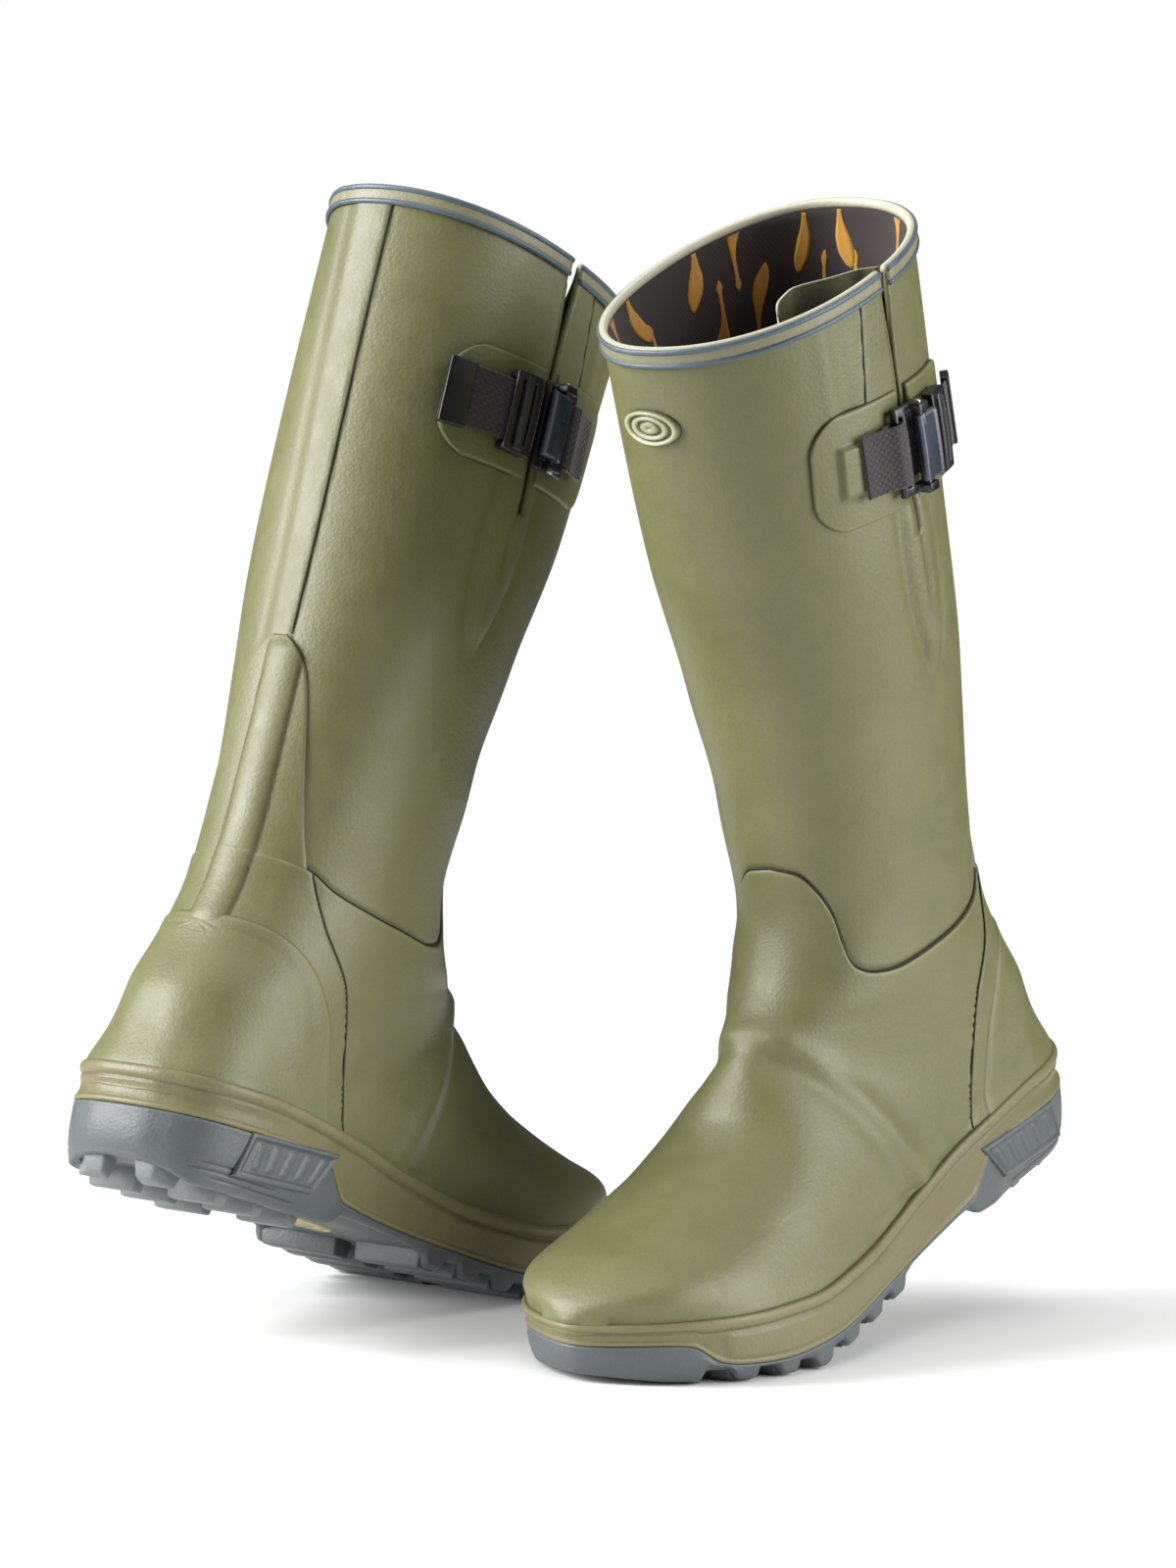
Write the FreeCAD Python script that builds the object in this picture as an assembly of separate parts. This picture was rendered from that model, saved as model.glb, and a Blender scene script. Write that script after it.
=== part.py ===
"""A pair of insulated rubber hunting boots with side gussets, straps and buckles.

Each boot is first built in its own frame: X from heel to toe, Y to the outer side, Z up, with the
walking sole on z = 0.  Both boots are then set down in their stance, up on the sprung toes, side by
side and pointing opposite ways.  Left and right are mirror images.  All lengths are millimetres.
"""
import FreeCAD
import Part
import math
import os
from FreeCAD import Vector

# ---- driving dimensions ---------------------------------------------------------------------
STANCE_PITCH = 18.0            # how far each heel is raised, which is also the toe spring, degrees
BOOT_SPACING = 167.0           # between the two boots' centre lines
BOOT_STAGGER = 18.0            # the right boot's mid-foot lies this much ahead of the left one's
MID_FOOT = (150.0, 200.0)      # the point (x, z) that the stagger is measured at

SHELL = 1.8                    # rubber shell
INSULATION = 4.5               # neoprene bootie
LINING = 1.0                   # textile lining
OVERLAY = 1.3                  # reinforcing rubber laid over the shell
BOND = 0.05                    # glue line under each overlay
CAVITY = SHELL + INSULATION + LINING
STIFFENER = 1.2                # toe puff and heel stiffener

ANKLE_SPLIT = 158.0            # height where the foot and leg mouldings meet
RIM_BACK = 412.0               # height of the rim behind the calf
RIM_FRONT = 396.0              # height of the rim at the shin
RIM_X = (22.5, 163.5)
BINDING_DROP = 12.0
BINDING_CAP = 1.5

SPRING_START = 222.0           # where the toe spring leaves the flat walking sole
SOLE_LENGTH = 306.0
LUG_DEPTH = 6.0
LUG_LENGTH = 13.0
HEEL_LUGS = (2.0, 24.0, 46.0, 68.0)
FORE_LUGS = (152.0, 173.0, 194.0, 215.0, 236.0, 257.0, 278.0)
HEEL_BREAST = 88.0

SLIT_X = 90.0
SLIT_WIDTH = 6.0
SLIT_BOTTOM = 298.0
STRAP_Z = 335.0
WEBBING_WIDTH = 25.0
WEBBING = 1.6
TAB = 1.8

FRONT_TAB_X = (98.0, 139.0)
REAR_TAB_X = (44.0, 84.0)
TAB_HEIGHT = 47.0
TAB_CORNER = 14.0
TAIL_X = (46.0, 82.0)
SLIDER_HEIGHT = 33.0

FRAME_LOW = 4.4                # the buckle frame's underside above the boot's side
FRAME_THICK = 2.8
FRAME_HEIGHT = 36.0
WINDOW_HEIGHT = 28.0
EAR = 3.4
PIN_X = 91.0
PIN_RISE = 2.2
LEVER_REACH = 9.4
LEVER_HEIGHT = 27.0
LEVER_PIN_RADIUS = 1.5
LEVER_BORE_RADIUS = 1.56

# The pieces that reach furthest out, which fix the pair's overall box.
OUTERMOST = ("outsole", "midsole", "rim_binding", "shaft_shell", "heel_plates", "buckle_lever",
             "buckle_frame", "lever_pin", "rear_slider", "strap_tail", "strap_tip")

# Fan of closed sections: heel-side point x, z, toe-side point x, z, half width, where along the
# chord it is widest, the squareness of its toe-side and heel-side halves, its sideways shift, and
# how far its inner side is pressed flat.
STATIONS = (
    (22.5, RIM_BACK, 170, RIM_FRONT, 57, .50, 2.2, 2.2, 0, 10),
    (24.5, 358, 164.5, 351, 56.5, .50, 2.2, 2.2, 0, 6.5),
    (27.5, 299, 157.5, 298, 55, .50, 2.2, 2.2, 0.5, 2.5),
    (29.5, 244, 146, 244, 51, .50, 2.2, 2.2, 1, 0),
    (30.5, 193, 142.5, 193, 44.5, .50, 2.2, 2.2, 1, 0),
    (30.5, 158, 143, 158, 41.5, .50, 2.2, 2.2, 0.5, 0),
    (28, 130, 152, 134, 39.5, .48, 2.2, 2.2, 0, 0),
    (20, 103, 162, 123, 39, .45, 2.2, 2.3, 0, 0),
    (8.5, 76, 170, 117, 38.5, .42, 2.1, 2.4, 0, 0),
    (6, 50, 176, 112, 38, .38, 2.1, 2.6, 0, 0),
    (20, 27, 181, 107, 37.5, .36, 2.1, 2.8, 0, 0),
    (70, 22, 186, 102, 38.5, .36, 2.1, 3.0, 0, 0),
    (125, 22, 191, 96, 41, .34, 2.1, 3.0, -1, 0),
    (170, 22, 198, 88, 44, .32, 2.1, 3.0, -2, 0),
    (205, 22, 213, 80, 46, .32, 2.1, 3.0, -3, 0),
    (235, 25, 238, 74, 45.5, .34, 2.1, 3.0, -3.5, 0),
    (262, 31, 263, 69, 42, .38, 2.1, 2.8, -4.5, 0),
    (281, 38, 282, 64, 34.5, .42, 2.1, 2.6, -5.5, 0),
    (291, 43, 291, 59.5, 26, .48, 2.1, 2.3, -5.5, 0),
    (297, 48, 297, 55, 13, .50, 2.1, 2.1, -5, 0),
)
STATIONS_STOP = {0: 19.0, 1: 18.0, 2: 17.0}      # the deeper the inset, the sooner the toe closes

# Half width and centre line of the sole along its length.
FOOTPRINT = (
    (0, 14, 0), (5, 26, 0), (16, 36, 0), (38, 41, 0), (75, 41.5, 0), (112, 40.5, 0),
    (150, 44, -1), (190, 50, -2), (222, 53, -3), (250, 51, -3.6), (275, 43, -4.8),
    (292, 30, -5.7), (302, 16, -5.5), (306, 6, -5),
)
# Where the grey outsole meets the midsole band, and the band's top edge, along the foot.
GREY_LINE = ((-6, 30), (50, 30), (80, 28), (96, 15), (150, 11), (200, 10), (232, 13), (262, 21),
             (273, 26), (282, 36), (292, 40), (314, 45))
BAND_TOP = ((-6, 46), (35, 46), (95, 41), (130, 35), (176, 30), (210, 31), (243, 37), (284, 47),
            (314, 54))


# ---- small helpers --------------------------------------------------------------------------
def hermite(a, b, slope_a, slope_b, step, f):
    """One span of a cubic from a to b."""
    rise = f * f * (3 - 2 * f)
    start = f * (1 - f) * (1 - f)
    end = f * f * (f - 1)
    return a + (b - a) * rise + step * (slope_a * start + slope_b * end)


def curve(points, x):
    """A smooth curve without overshoot through (x, value) points."""
    steps = [q[0] - p[0] for p, q in zip(points, points[1:])]
    grades = [(q[1] - p[1]) / s for p, q, s in zip(points, points[1:], steps)]
    slopes = [grades[0]]
    for before, after in zip(grades, grades[1:]):
        slopes.append(0.0 if before * after <= 0 else 2 * before * after / (before + after))
    slopes.append(grades[-1])
    i = 0
    while i < len(steps) - 1 and x > points[i + 1][0]:
        i += 1
    f = (x - points[i][0]) / steps[i]
    return hermite(points[i][1], points[i + 1][1], slopes[i], slopes[i + 1], steps[i], f)


def station(t):
    """The section's ten values at a place t along the fan, between stations."""
    return [curve([(i, row[k]) for i, row in enumerate(STATIONS)], t) for k in range(10)]


def ease(f):
    f = min(max(f, 0.0), 1.0)
    return f * f * (3 - 2 * f)


def fan_point(values, angle, grow):
    """A point on one section, pushed out by grow; angle 0 is the toe side, 90 the outer side."""
    kx, kz, fx, fz, half, widest, front, back, shift, pressed = values
    length = math.hypot(fx - kx, fz - kz)
    ux, uz = (fx - kx) / length, (fz - kz) / length
    c, s = math.cos(angle), math.sin(angle)
    power = 2.0 / (front if c > 0 else back)
    along = math.copysign(abs(c) ** power, c)
    side = math.copysign(abs(s) ** power, s)
    reach = (1 - widest) * length if c > 0 else widest * length
    half -= pressed if s < 0 else 0
    run = widest * length + along * (reach + grow)
    toe = ease((kx - 225) / 60) * grow
    return Vector(kx + ux * run + toe, shift + side * (half + grow), kz + uz * run)


_bodies = {}
HEEL_STATION = 10              # the fan is lofted in two runs that meet at this station
RING_POINTS = 30


def ring_wire(t, grow):
    values = station(t)
    ring = [fan_point(values, 2 * math.pi * i / RING_POINTS, grow) for i in range(RING_POINTS)]
    spline = Part.BSplineCurve()
    spline.interpolate(Points=ring, PeriodicFlag=True, Parameters=list(range(RING_POINTS + 1)))
    return Part.Wire([spline.toShape()])


def body(grow, depth=0):
    """The whole boot as one closed solid, grown or shrunk by grow, from above the rim to the toe."""
    if grow not in _bodies:
        top = [-0.25] + [i / 2 for i in range(2 * HEEL_STATION + 1)]
        toe = [i / 2 for i in range(2 * HEEL_STATION, int(2 * STATIONS_STOP[depth]) + 1)]
        faces = []
        ends = []
        for run in (top, toe):
            wires = [ring_wire(t, grow) for t in run]
            faces += Part.makeLoft(wires, False, False).Faces
            ends.append(wires[0] if run is top else wires[-1])
        shell = Part.makeShell(faces + [Part.Face(wire) for wire in ends])
        shell.sewShape()
        solid = Part.Solid(shell if shell.ShapeType == "Shell" else shell.Shells[0])
        if solid.Volume < 0:
            solid.reverse()
        _bodies[grow] = solid
    return _bodies[grow]


def skin(outer, inner):
    return outer.cut(inner)


def prism_y(points, y0=-90.0, y1=90.0):
    """A solid from an outline in the XZ plane, running from y0 to y1."""
    corners = [Vector(x, y0, z) for x, z in points]
    wire = Part.makePolygon(corners + [corners[0]])
    return Part.Face(wire).extrude(Vector(0, y1 - y0, 0))


def sampled(points, x0, x1, count=24, rise=0.0):
    xs = [x0 + (x1 - x0) * i / (count - 1) for i in range(count)]
    return [(x, curve(points, x) + rise) for x in xs]


def footprint(grow, z0, z1):
    """The sole's outline as an upright prism."""
    widths = [(row[0], row[1]) for row in FOOTPRINT]
    centres = [(row[0], row[2]) for row in FOOTPRINT]
    xs = [0, 2, 5, 10, 18, 30, 50, 75, 100, 130, 160, 190, 215, 235, 255, 272, 285, 294, 300, 304,
          SOLE_LENGTH]
    outer = [Vector(x, curve(centres, x) + curve(widths, x) + grow, z0) for x in xs]
    inner = [Vector(x, curve(centres, x) - curve(widths, x) - grow, z0) for x in xs]
    crown = 1.2                # how far the rounded heel and toe reach past the end stations
    nose = Vector(SOLE_LENGTH + grow + crown, curve(centres, SOLE_LENGTH), z0)
    tail = Vector(-grow - crown, 0, z0)
    ring = [tail] + outer + [nose] + inner[::-1]
    spline = Part.BSplineCurve()
    spline.interpolate(Points=ring, PeriodicFlag=True)
    return Part.Face(Part.Wire([spline.toShape()])).extrude(Vector(0, 0, z1 - z0))


def ground(x):
    """The underside's line: flat to the ball, then the straight toe spring."""
    return max(0.0, x - SPRING_START) * math.tan(math.radians(STANCE_PITCH))


def rim_slab(low, high):
    """The space between two planes parallel to the rim."""
    slope = (RIM_FRONT - RIM_BACK) / (RIM_X[1] - RIM_X[0])
    left, right = -60.0, 260.0
    level = [RIM_BACK + slope * (x - RIM_X[0]) for x in (left, right)]
    return prism_y([(left, level[0] + low), (right, level[1] + low),
                    (right, level[1] + high), (left, level[0] + high)])


def below_rim(drop=0.0):
    return rim_slab(-420.0, -drop)


# ---- sole -----------------------------------------------------------------------------------
def make_outsole(foot):
    """Lugged outsole: heel block, arch, forefoot and the cap that wraps the toe."""
    bottom = []
    for start in HEEL_LUGS:
        bottom += [(start, LUG_DEPTH), (start + 1.5, 0), (start + LUG_LENGTH, 0),
                   (start + LUG_LENGTH + 2, LUG_DEPTH)]
    bottom += [(HEEL_BREAST, LUG_DEPTH), (HEEL_BREAST + 10, 9), (FORE_LUGS[0] - 10, 8)]
    for start in FORE_LUGS:
        end = start + LUG_LENGTH
        bottom += [(start, ground(start) + LUG_DEPTH), (start + 1.5, ground(start + 1.5)),
                   (end, ground(end)), (end + 2, ground(end + 2) + LUG_DEPTH)]
    bottom.append((314, ground(314) + 2))
    top = sampled(GREY_LINE, 314, -6)
    profile = prism_y([(-6, LUG_DEPTH)] + bottom + top)
    sole = profile.common(footprint(0, -2, 60))
    channel = Part.makeBox(270, 8, LUG_DEPTH, Vector(16, -5, -1))
    strike = prism_y([(-10, -2), (18, -2), (-10, 17)])
    return sole.cut(channel).cut(strike).cut(foot)


def make_midsole(foot, shank):
    low = sampled(GREY_LINE, -6, 314)
    high = sampled(BAND_TOP, 314, -6)
    slab = prism_y(low + high)
    return slab.common(footprint(0.8, -2, 70)).cut(foot).cut(shank)


def make_shank():
    """Stiffening plate under the arch."""
    length, width, thick = 100.0, 28.0, 1.6
    plate = Part.makeBox(length, width, thick, Vector(102, -width / 2 - 1, 16))
    upright = [e for e in plate.Edges if abs(e.BoundBox.ZLength - thick) < 0.01]
    return plate.makeFillet(10.0, upright)


def make_heel_plates():
    """Raised side plates on the heel block, one each side."""
    outline = prism_y([(22, 9), (66, 9), (78, 15), (84, 21.5), (74, 22.5), (30, 22.5), (22, 17)])
    ring = skin(footprint(1.3, 2, 30), footprint(0, 2, 30))
    return ring.common(outline)


def make_arch_inlay():
    oval = Part.Ellipse(Vector(118, -1, 6.8), 22, 11).toShape()
    return Part.Face(Part.Wire([oval])).extrude(Vector(0, 0, 1.0))


# ---- upper ----------------------------------------------------------------------------------
def slit_cutter():
    """The slot that the gusset closes, with a round foot."""
    box = Part.makeBox(SLIT_WIDTH, 70, 160, Vector(SLIT_X - SLIT_WIDTH / 2, 25, SLIT_BOTTOM))
    foot = Part.makeCylinder(SLIT_WIDTH / 2, 70, Vector(SLIT_X, 25, SLIT_BOTTOM), Vector(0, 1, 0))
    return box.fuse(foot)


def vamp_region():
    """Everything under the ankle seam, high at the instep and dipping on both sides."""
    seam = [(20, 141), (44, 137), (57, 131), (70, 128), (92, 127), (122, 128), (134, 133), (139, 143),
            (139, 158), (141, 170), (152, 174)]
    return prism_y([(-40, 0), (330, 0), (330, 140), (200, 174)] + seam[::-1] + [(-40, 141)])


def counter_region():
    edge = [(-30, 110), (36, 112), (57, 92), (68, 75), (76, 58), (79, 50)]
    floor = sampled(BAND_TOP, 79, -30, 8, 0.4)
    return prism_y(edge + floor)


def make_upper():
    """The layers of the upper, from the outside in, keyed by name."""
    slit = slit_cutter()
    outer, under_shell = body(0), body(-SHELL, 1)
    under_insulation, under_lining = body(-SHELL - INSULATION, 2), body(-CAVITY, 2)
    leg = rim_slab(-300, 0).common(Part.makeBox(400, 200, 300, Vector(-60, -100, ANKLE_SPLIT)))
    foot = Part.makeBox(400, 200, ANKLE_SPLIT + 5, Vector(-60, -100, -5))

    shell = skin(outer, under_shell)
    insulation = skin(under_shell, under_insulation)
    lining = skin(under_insulation, under_lining)
    inner_cap = body(-SHELL - STIFFENER, 1)
    cap_layer = skin(under_shell, inner_cap)
    toe_region = Part.makeBox(90, 120, 60, Vector(244, -60, 38))
    heel_region = Part.makeBox(80, 120, 58, Vector(-20, -60, 40))
    toe_puff = cap_layer.common(toe_region)
    heel_stiffener = cap_layer.common(heel_region)

    pieces = {
        "shaft_shell": shell.common(leg).cut(slit),
        "foot_shell": shell.common(foot),
        "insulation": insulation.common(below_rim()).cut(slit).cut(toe_puff).cut(heel_stiffener),
        "lining": lining.common(below_rim()).cut(slit),
        "toe_puff": toe_puff,
        "heel_stiffener": heel_stiffener,
    }
    over = body(OVERLAY)
    layer = skin(over, body(BOND))
    pieces["vamp_overlay"] = layer.common(vamp_region())
    pieces["heel_counter"] = skin(body(2 * OVERLAY), body(OVERLAY + BOND)).common(counter_region())
    strip = prism_y([(-26, 142), (26, 142), (24, 152), (15, 213), (9, 223), (0, 227), (-9, 223),
                     (-15, 213), (-24, 152)], 0, 200)
    strip.rotate(Vector(0, 0, 0), Vector(0, 0, 1), 90)
    strip.translate(Vector(90, 0, 0))
    pieces["backstay"] = layer.common(strip)
    ring = skin(over, body(-CAVITY - 1.0, 2)).common(rim_slab(-BINDING_DROP, BINDING_CAP))
    wall = skin(outer, under_lining).common(rim_slab(-2 * BINDING_DROP, 0))
    pieces["rim_binding"] = ring.cut(wall).cut(slit)
    return pieces


def make_gusset():
    """Bellows leaf folded inward and forward behind the slit."""
    w, t = SLIT_WIDTH / 2, 1.0
    outline = [(-w, 50), (-w + t, 50), (-w + t, 44), (8, 35.5), (21, 32.4), (9, 38.5), (w - t, 44),
               (w - t, 50), (w, 50), (w, 44.6), (11, 39.5), (24, 33), (24, 31), (8, 33.8), (-w, 42.5)]
    corners = [Vector(SLIT_X + x, y, SLIT_BOTTOM) for x, y in outline]
    face = Part.Face(Part.makePolygon(corners + [corners[0]]))
    return face.extrude(Vector(0, 0, 130)).common(below_rim(1.0))


def make_footbed_layers():
    """The stiff insole board, and the cushioned footbed lying on it."""
    inside = body(-CAVITY - 0.1, 2)
    floor = ((0, 40), (20, 36), (45, 31), (70, 29.6), (205, 29.6), (235, 32.6), (262, 37.6), (290, 43))
    low = sampled(floor, -20, 300, 24, -14)
    board_top = sampled(floor, 300, -20, 24, 2.2)
    bed_low = sampled(floor, -20, 300, 24, 2.3)
    bed_top = sampled(floor, 300, -20, 24, 6.8)
    foot = Part.makeBox(400, 200, 75, Vector(-60, -100, 0))
    inside = inside.common(foot)
    return inside.common(prism_y(low + board_top)), inside.common(prism_y(bed_low + bed_top))


def make_badge():
    """Plain oval badge on the shin."""
    oval = Part.Ellipse(Vector(-6, 0, 0), 13.5, 7).toShape()
    block = Part.Face(Part.Wire([oval])).extrude(Vector(0, 0, 60))
    block.rotate(Vector(0, 0, 0), Vector(1, 0, 0), 90)
    block.rotate(Vector(0, 0, 0), Vector(0, 0, 1), 90)
    block.translate(Vector(120, 0, 364))
    return skin(body(1.6), body(BOND)).common(block)


# ---- strap and buckle -----------------------------------------------------------------------
def side_y(x):
    """The outer side's distance from the centre plane at the strap's height."""
    place = 0.0
    while station(place)[1] > STRAP_Z:
        place += 0.02
    values = station(place)
    low, high = 0.0, math.pi
    for _ in range(40):
        middle = (low + high) / 2
        if fan_point(values, middle, 0).x > x:
            low = middle
        else:
            high = middle
    return fan_point(values, low, 0).y


def strap_circle():
    """Centre and radius of the arc that the strap follows behind the buckle."""
    points = [Vector(x, side_y(x), 0) for x in (REAR_TAB_X[0], 65.0, REAR_TAB_X[1])]
    circle = Part.Arc(*points).toShape().Curve
    return circle.Center, circle.Radius


def arc_band(circle, x0, x1, low, high, width):
    """A band of the strap's arc between two places along the boot and two heights above it."""
    centre, radius = circle
    r0, r1 = radius + low, radius + high
    a0, a1 = (math.acos((x - centre.x) / radius) for x in (x0, x1))
    z0 = STRAP_Z - width / 2

    def at(r, a):
        return Vector(centre.x + r * math.cos(a), centre.y + r * math.sin(a), z0)

    middle = (a0 + a1) / 2
    edges = [Part.Arc(at(r0, a0), at(r0, middle), at(r0, a1)).toShape(),
             Part.makeLine(at(r0, a1), at(r1, a1)),
             Part.Arc(at(r1, a1), at(r1, middle), at(r1, a0)).toShape(),
             Part.makeLine(at(r1, a0), at(r0, a0))]
    return Part.Face(Part.Wire(edges)).extrude(Vector(0, 0, width))


def plate(x0, x1, y0, y1, height, z=STRAP_Z):
    return Part.makeBox(x1 - x0, y1 - y0, height, Vector(x0, y0, z - height / 2))


def pillar(radius, height, x, y):
    return Part.makeCylinder(radius, height, Vector(x, y, STRAP_Z - height / 2))


def tab_block(x_range, height, round_x):
    """The outline of a tab, rounded at one end, as a block across the outer side."""
    z0, z1 = STRAP_Z - height / 2, STRAP_Z + height / 2
    x0, x1 = x_range
    block = prism_y([(x0, z0), (x1, z0), (x1, z1), (x0, z1)], 15, 80)
    corners = [e for e in block.Edges
               if e.BoundBox.XLength < 0.01 and e.BoundBox.ZLength < 0.01
               and abs(e.BoundBox.XMin - round_x) < 0.01]
    return block.makeFillet(TAB_CORNER, corners)


def make_tabs():
    layer = skin(body(TAB), body(BOND))
    return {
        "front_tab": layer.common(tab_block(FRONT_TAB_X, TAB_HEIGHT, FRONT_TAB_X[1])),
        "rear_tab": layer.common(tab_block(REAR_TAB_X, TAB_HEIGHT, REAR_TAB_X[0])),
    }


def make_buckle(top):
    """Frame on the front webbing loop, with a lever that turns on an upright pin."""
    low, high = top + FRAME_LOW, top + FRAME_LOW + FRAME_THICK
    frame = plate(83, 103, low, high, FRAME_HEIGHT)
    frame = frame.cut(plate(86, 96.5, low - 1, high + 1, WINDOW_HEIGHT))
    frame = frame.cut(plate(98.9, 101, low - 1, high + 1, WINDOW_HEIGHT))
    pin_y = high + PIN_RISE
    for side in (-1, 1):
        ear = plate(PIN_X - 3.4, PIN_X + 3.4, high - 0.2, pin_y + 3.0, EAR,
                    STRAP_Z + side * (WINDOW_HEIGHT + EAR + 0.8) / 2)
        frame = frame.fuse(ear)
    frame = frame.cut(pillar(LEVER_BORE_RADIUS, 60, PIN_X, pin_y)).removeSplitter()
    lever = plate(PIN_X - LEVER_REACH, PIN_X + 2.8, pin_y + 0.6, pin_y + 2.8, LEVER_HEIGHT)
    lever = lever.fuse(pillar(2.7, LEVER_HEIGHT, PIN_X, pin_y))
    lever = lever.cut(pillar(LEVER_PIN_RADIUS, 60, PIN_X, pin_y)).removeSplitter()
    loop = plate(99.3, 106, low - WEBBING, high + WEBBING, WEBBING_WIDTH)
    loop = loop.cut(plate(100.8, 104.4, low - 0.1, high + 0.1, WEBBING_WIDTH))
    pad = skin(body(TAB + 2 * WEBBING), body(TAB)).common(plate(105, 120, 20, 90, WEBBING_WIDTH))
    return {
        "buckle_frame": frame,
        "buckle_lever": lever,
        "lever_pin": pillar(LEVER_PIN_RADIUS, FRAME_HEIGHT + 2, PIN_X, pin_y),
        "webbing_loop": loop.fuse(pad).removeSplitter(),
    }


def make_strap(circle):
    """Strap across the gusset, the slider it doubles back through, and its free tail."""
    low = 2.6
    high = low + WEBBING
    tail_low, tail_high = high + 0.4, high + 0.4 + WEBBING
    sleeve = arc_band(circle, 67, 80, low - 0.1, tail_high + 2.2, SLIDER_HEIGHT)
    passage = arc_band(circle, 66, 81, low - 0.2, tail_high + 0.4, WEBBING_WIDTH + 1.4)
    window = arc_band(circle, 70, 76, tail_high, tail_high + 4, WEBBING_WIDTH - 6)
    tail = arc_band(circle, TAIL_X[0], TAIL_X[1], tail_low, tail_high, WEBBING_WIDTH)
    tip = arc_band(circle, TAIL_X[0] - 1.5, TAIL_X[0] + 6, tail_low - 0.9, tail_high + 1.0,
                   WEBBING_WIDTH + 2.4)
    return {
        "strap": arc_band(circle, 64, 97, low, high, WEBBING_WIDTH),
        "rear_slider": sleeve.cut(passage).cut(window),
        "strap_tail": tail,
        "strap_tip": tip.cut(tail),
    }


# ---- assembly -------------------------------------------------------------------------------
def make_boot():
    """Every piece of the left boot, in the boot's own frame."""
    pieces = make_upper()
    foot = body(OVERLAY)
    shank = make_shank()
    pieces["outsole"] = make_outsole(foot)
    pieces["midsole"] = make_midsole(foot, shank)
    pieces["shank"] = shank
    pieces["heel_plates"] = make_heel_plates()
    pieces["arch_inlay"] = make_arch_inlay()
    pieces["gusset"] = make_gusset()
    pieces["insole_board"], pieces["footbed"] = make_footbed_layers()
    pieces["badge"] = make_badge()
    pieces.update(make_tabs())
    pieces.update(make_buckle(side_y(SLIT_X)))
    pieces.update(make_strap(strap_circle()))
    return pieces


def stand(shape):
    """Tip the boot onto its sprung toe and turn the toe towards -Y, the outer side towards +X."""
    placed = shape.copy()
    placed.rotate(Vector(0, 0, 0), Vector(0, 1, 0), STANCE_PITCH)
    placed.rotate(Vector(0, 0, 0), Vector(0, 0, 1), -90)
    return placed


def stand_pair(pieces):
    """The left boot, and its mirror image as the right boot, with the pair's base centre at 0."""
    pitch = math.radians(STANCE_PITCH)
    mid = MID_FOOT[0] * math.cos(pitch) + MID_FOOT[1] * math.sin(pitch)
    left_y = mid - BOOT_STAGGER / 2
    pair = {}
    for name, shape in pieces.items():
        left = stand(shape)
        right = left.mirror(Vector(0, 0, 0), Vector(0, 1, 0))
        left.translate(Vector(BOOT_SPACING / 2, left_y, 0))
        right.translate(Vector(-BOOT_SPACING / 2, -left_y, 0))
        pair["left_" + name] = left
        pair["right_" + name] = right
    box = FreeCAD.BoundBox()
    for name, shape in pair.items():
        if name.partition("_")[2] in OUTERMOST:
            box.add(shape.optimalBoundingBox(True, False))
    shift = Vector(-box.Center.x, -box.Center.y, -box.ZMin)
    for shape in pair.values():
        shape.translate(shift)
    return pair


def main():
    os.makedirs("parts", exist_ok=True)
    for name, shape in stand_pair(make_boot()).items():
        shape.exportStep("parts/" + name + ".step")


main()
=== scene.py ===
import math
from functools import partial

import bmesh
import bpy
import numpy as np
from mathutils import Matrix, Vector


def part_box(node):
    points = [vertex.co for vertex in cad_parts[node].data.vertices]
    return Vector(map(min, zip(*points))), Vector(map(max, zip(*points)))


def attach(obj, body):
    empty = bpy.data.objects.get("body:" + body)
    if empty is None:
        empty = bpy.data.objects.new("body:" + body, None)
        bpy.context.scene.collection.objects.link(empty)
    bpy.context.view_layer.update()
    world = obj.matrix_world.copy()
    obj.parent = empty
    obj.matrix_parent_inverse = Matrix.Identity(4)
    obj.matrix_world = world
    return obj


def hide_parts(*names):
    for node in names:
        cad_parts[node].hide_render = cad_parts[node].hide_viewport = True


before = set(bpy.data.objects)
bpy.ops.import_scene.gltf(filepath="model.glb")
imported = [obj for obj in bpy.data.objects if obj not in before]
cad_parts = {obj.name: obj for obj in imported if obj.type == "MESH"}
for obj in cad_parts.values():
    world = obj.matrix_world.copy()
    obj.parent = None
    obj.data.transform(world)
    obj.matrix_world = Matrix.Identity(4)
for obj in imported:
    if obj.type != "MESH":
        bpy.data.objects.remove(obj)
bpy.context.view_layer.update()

# All shapes are worked out in the boot's own frame, in millimetres: x from heel to toe, y to the
# outer side, z up from the walking sole.  place() sets them down in the pair's stance, in metres.
PITCH = math.radians(18.0)
SIDES = ("left", "right")
PI = math.pi
DEG = math.pi / 180

RIM_BACK, RIM_FRONT = 412.0, 396.0
STRAP_Z = 335.0
SLIT_X, SLIT_HALF, SLIT_BOTTOM = 90.0, 1.2, 298.0
# The sole's toe spring starts here; the lining lies this deep; how often bisect() halves.
SPRING_START = 222.0
CAVITY = 7.3
HALVINGS = 40
PIN_X, PIN_LIFT = 91.0, 9.4

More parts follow.
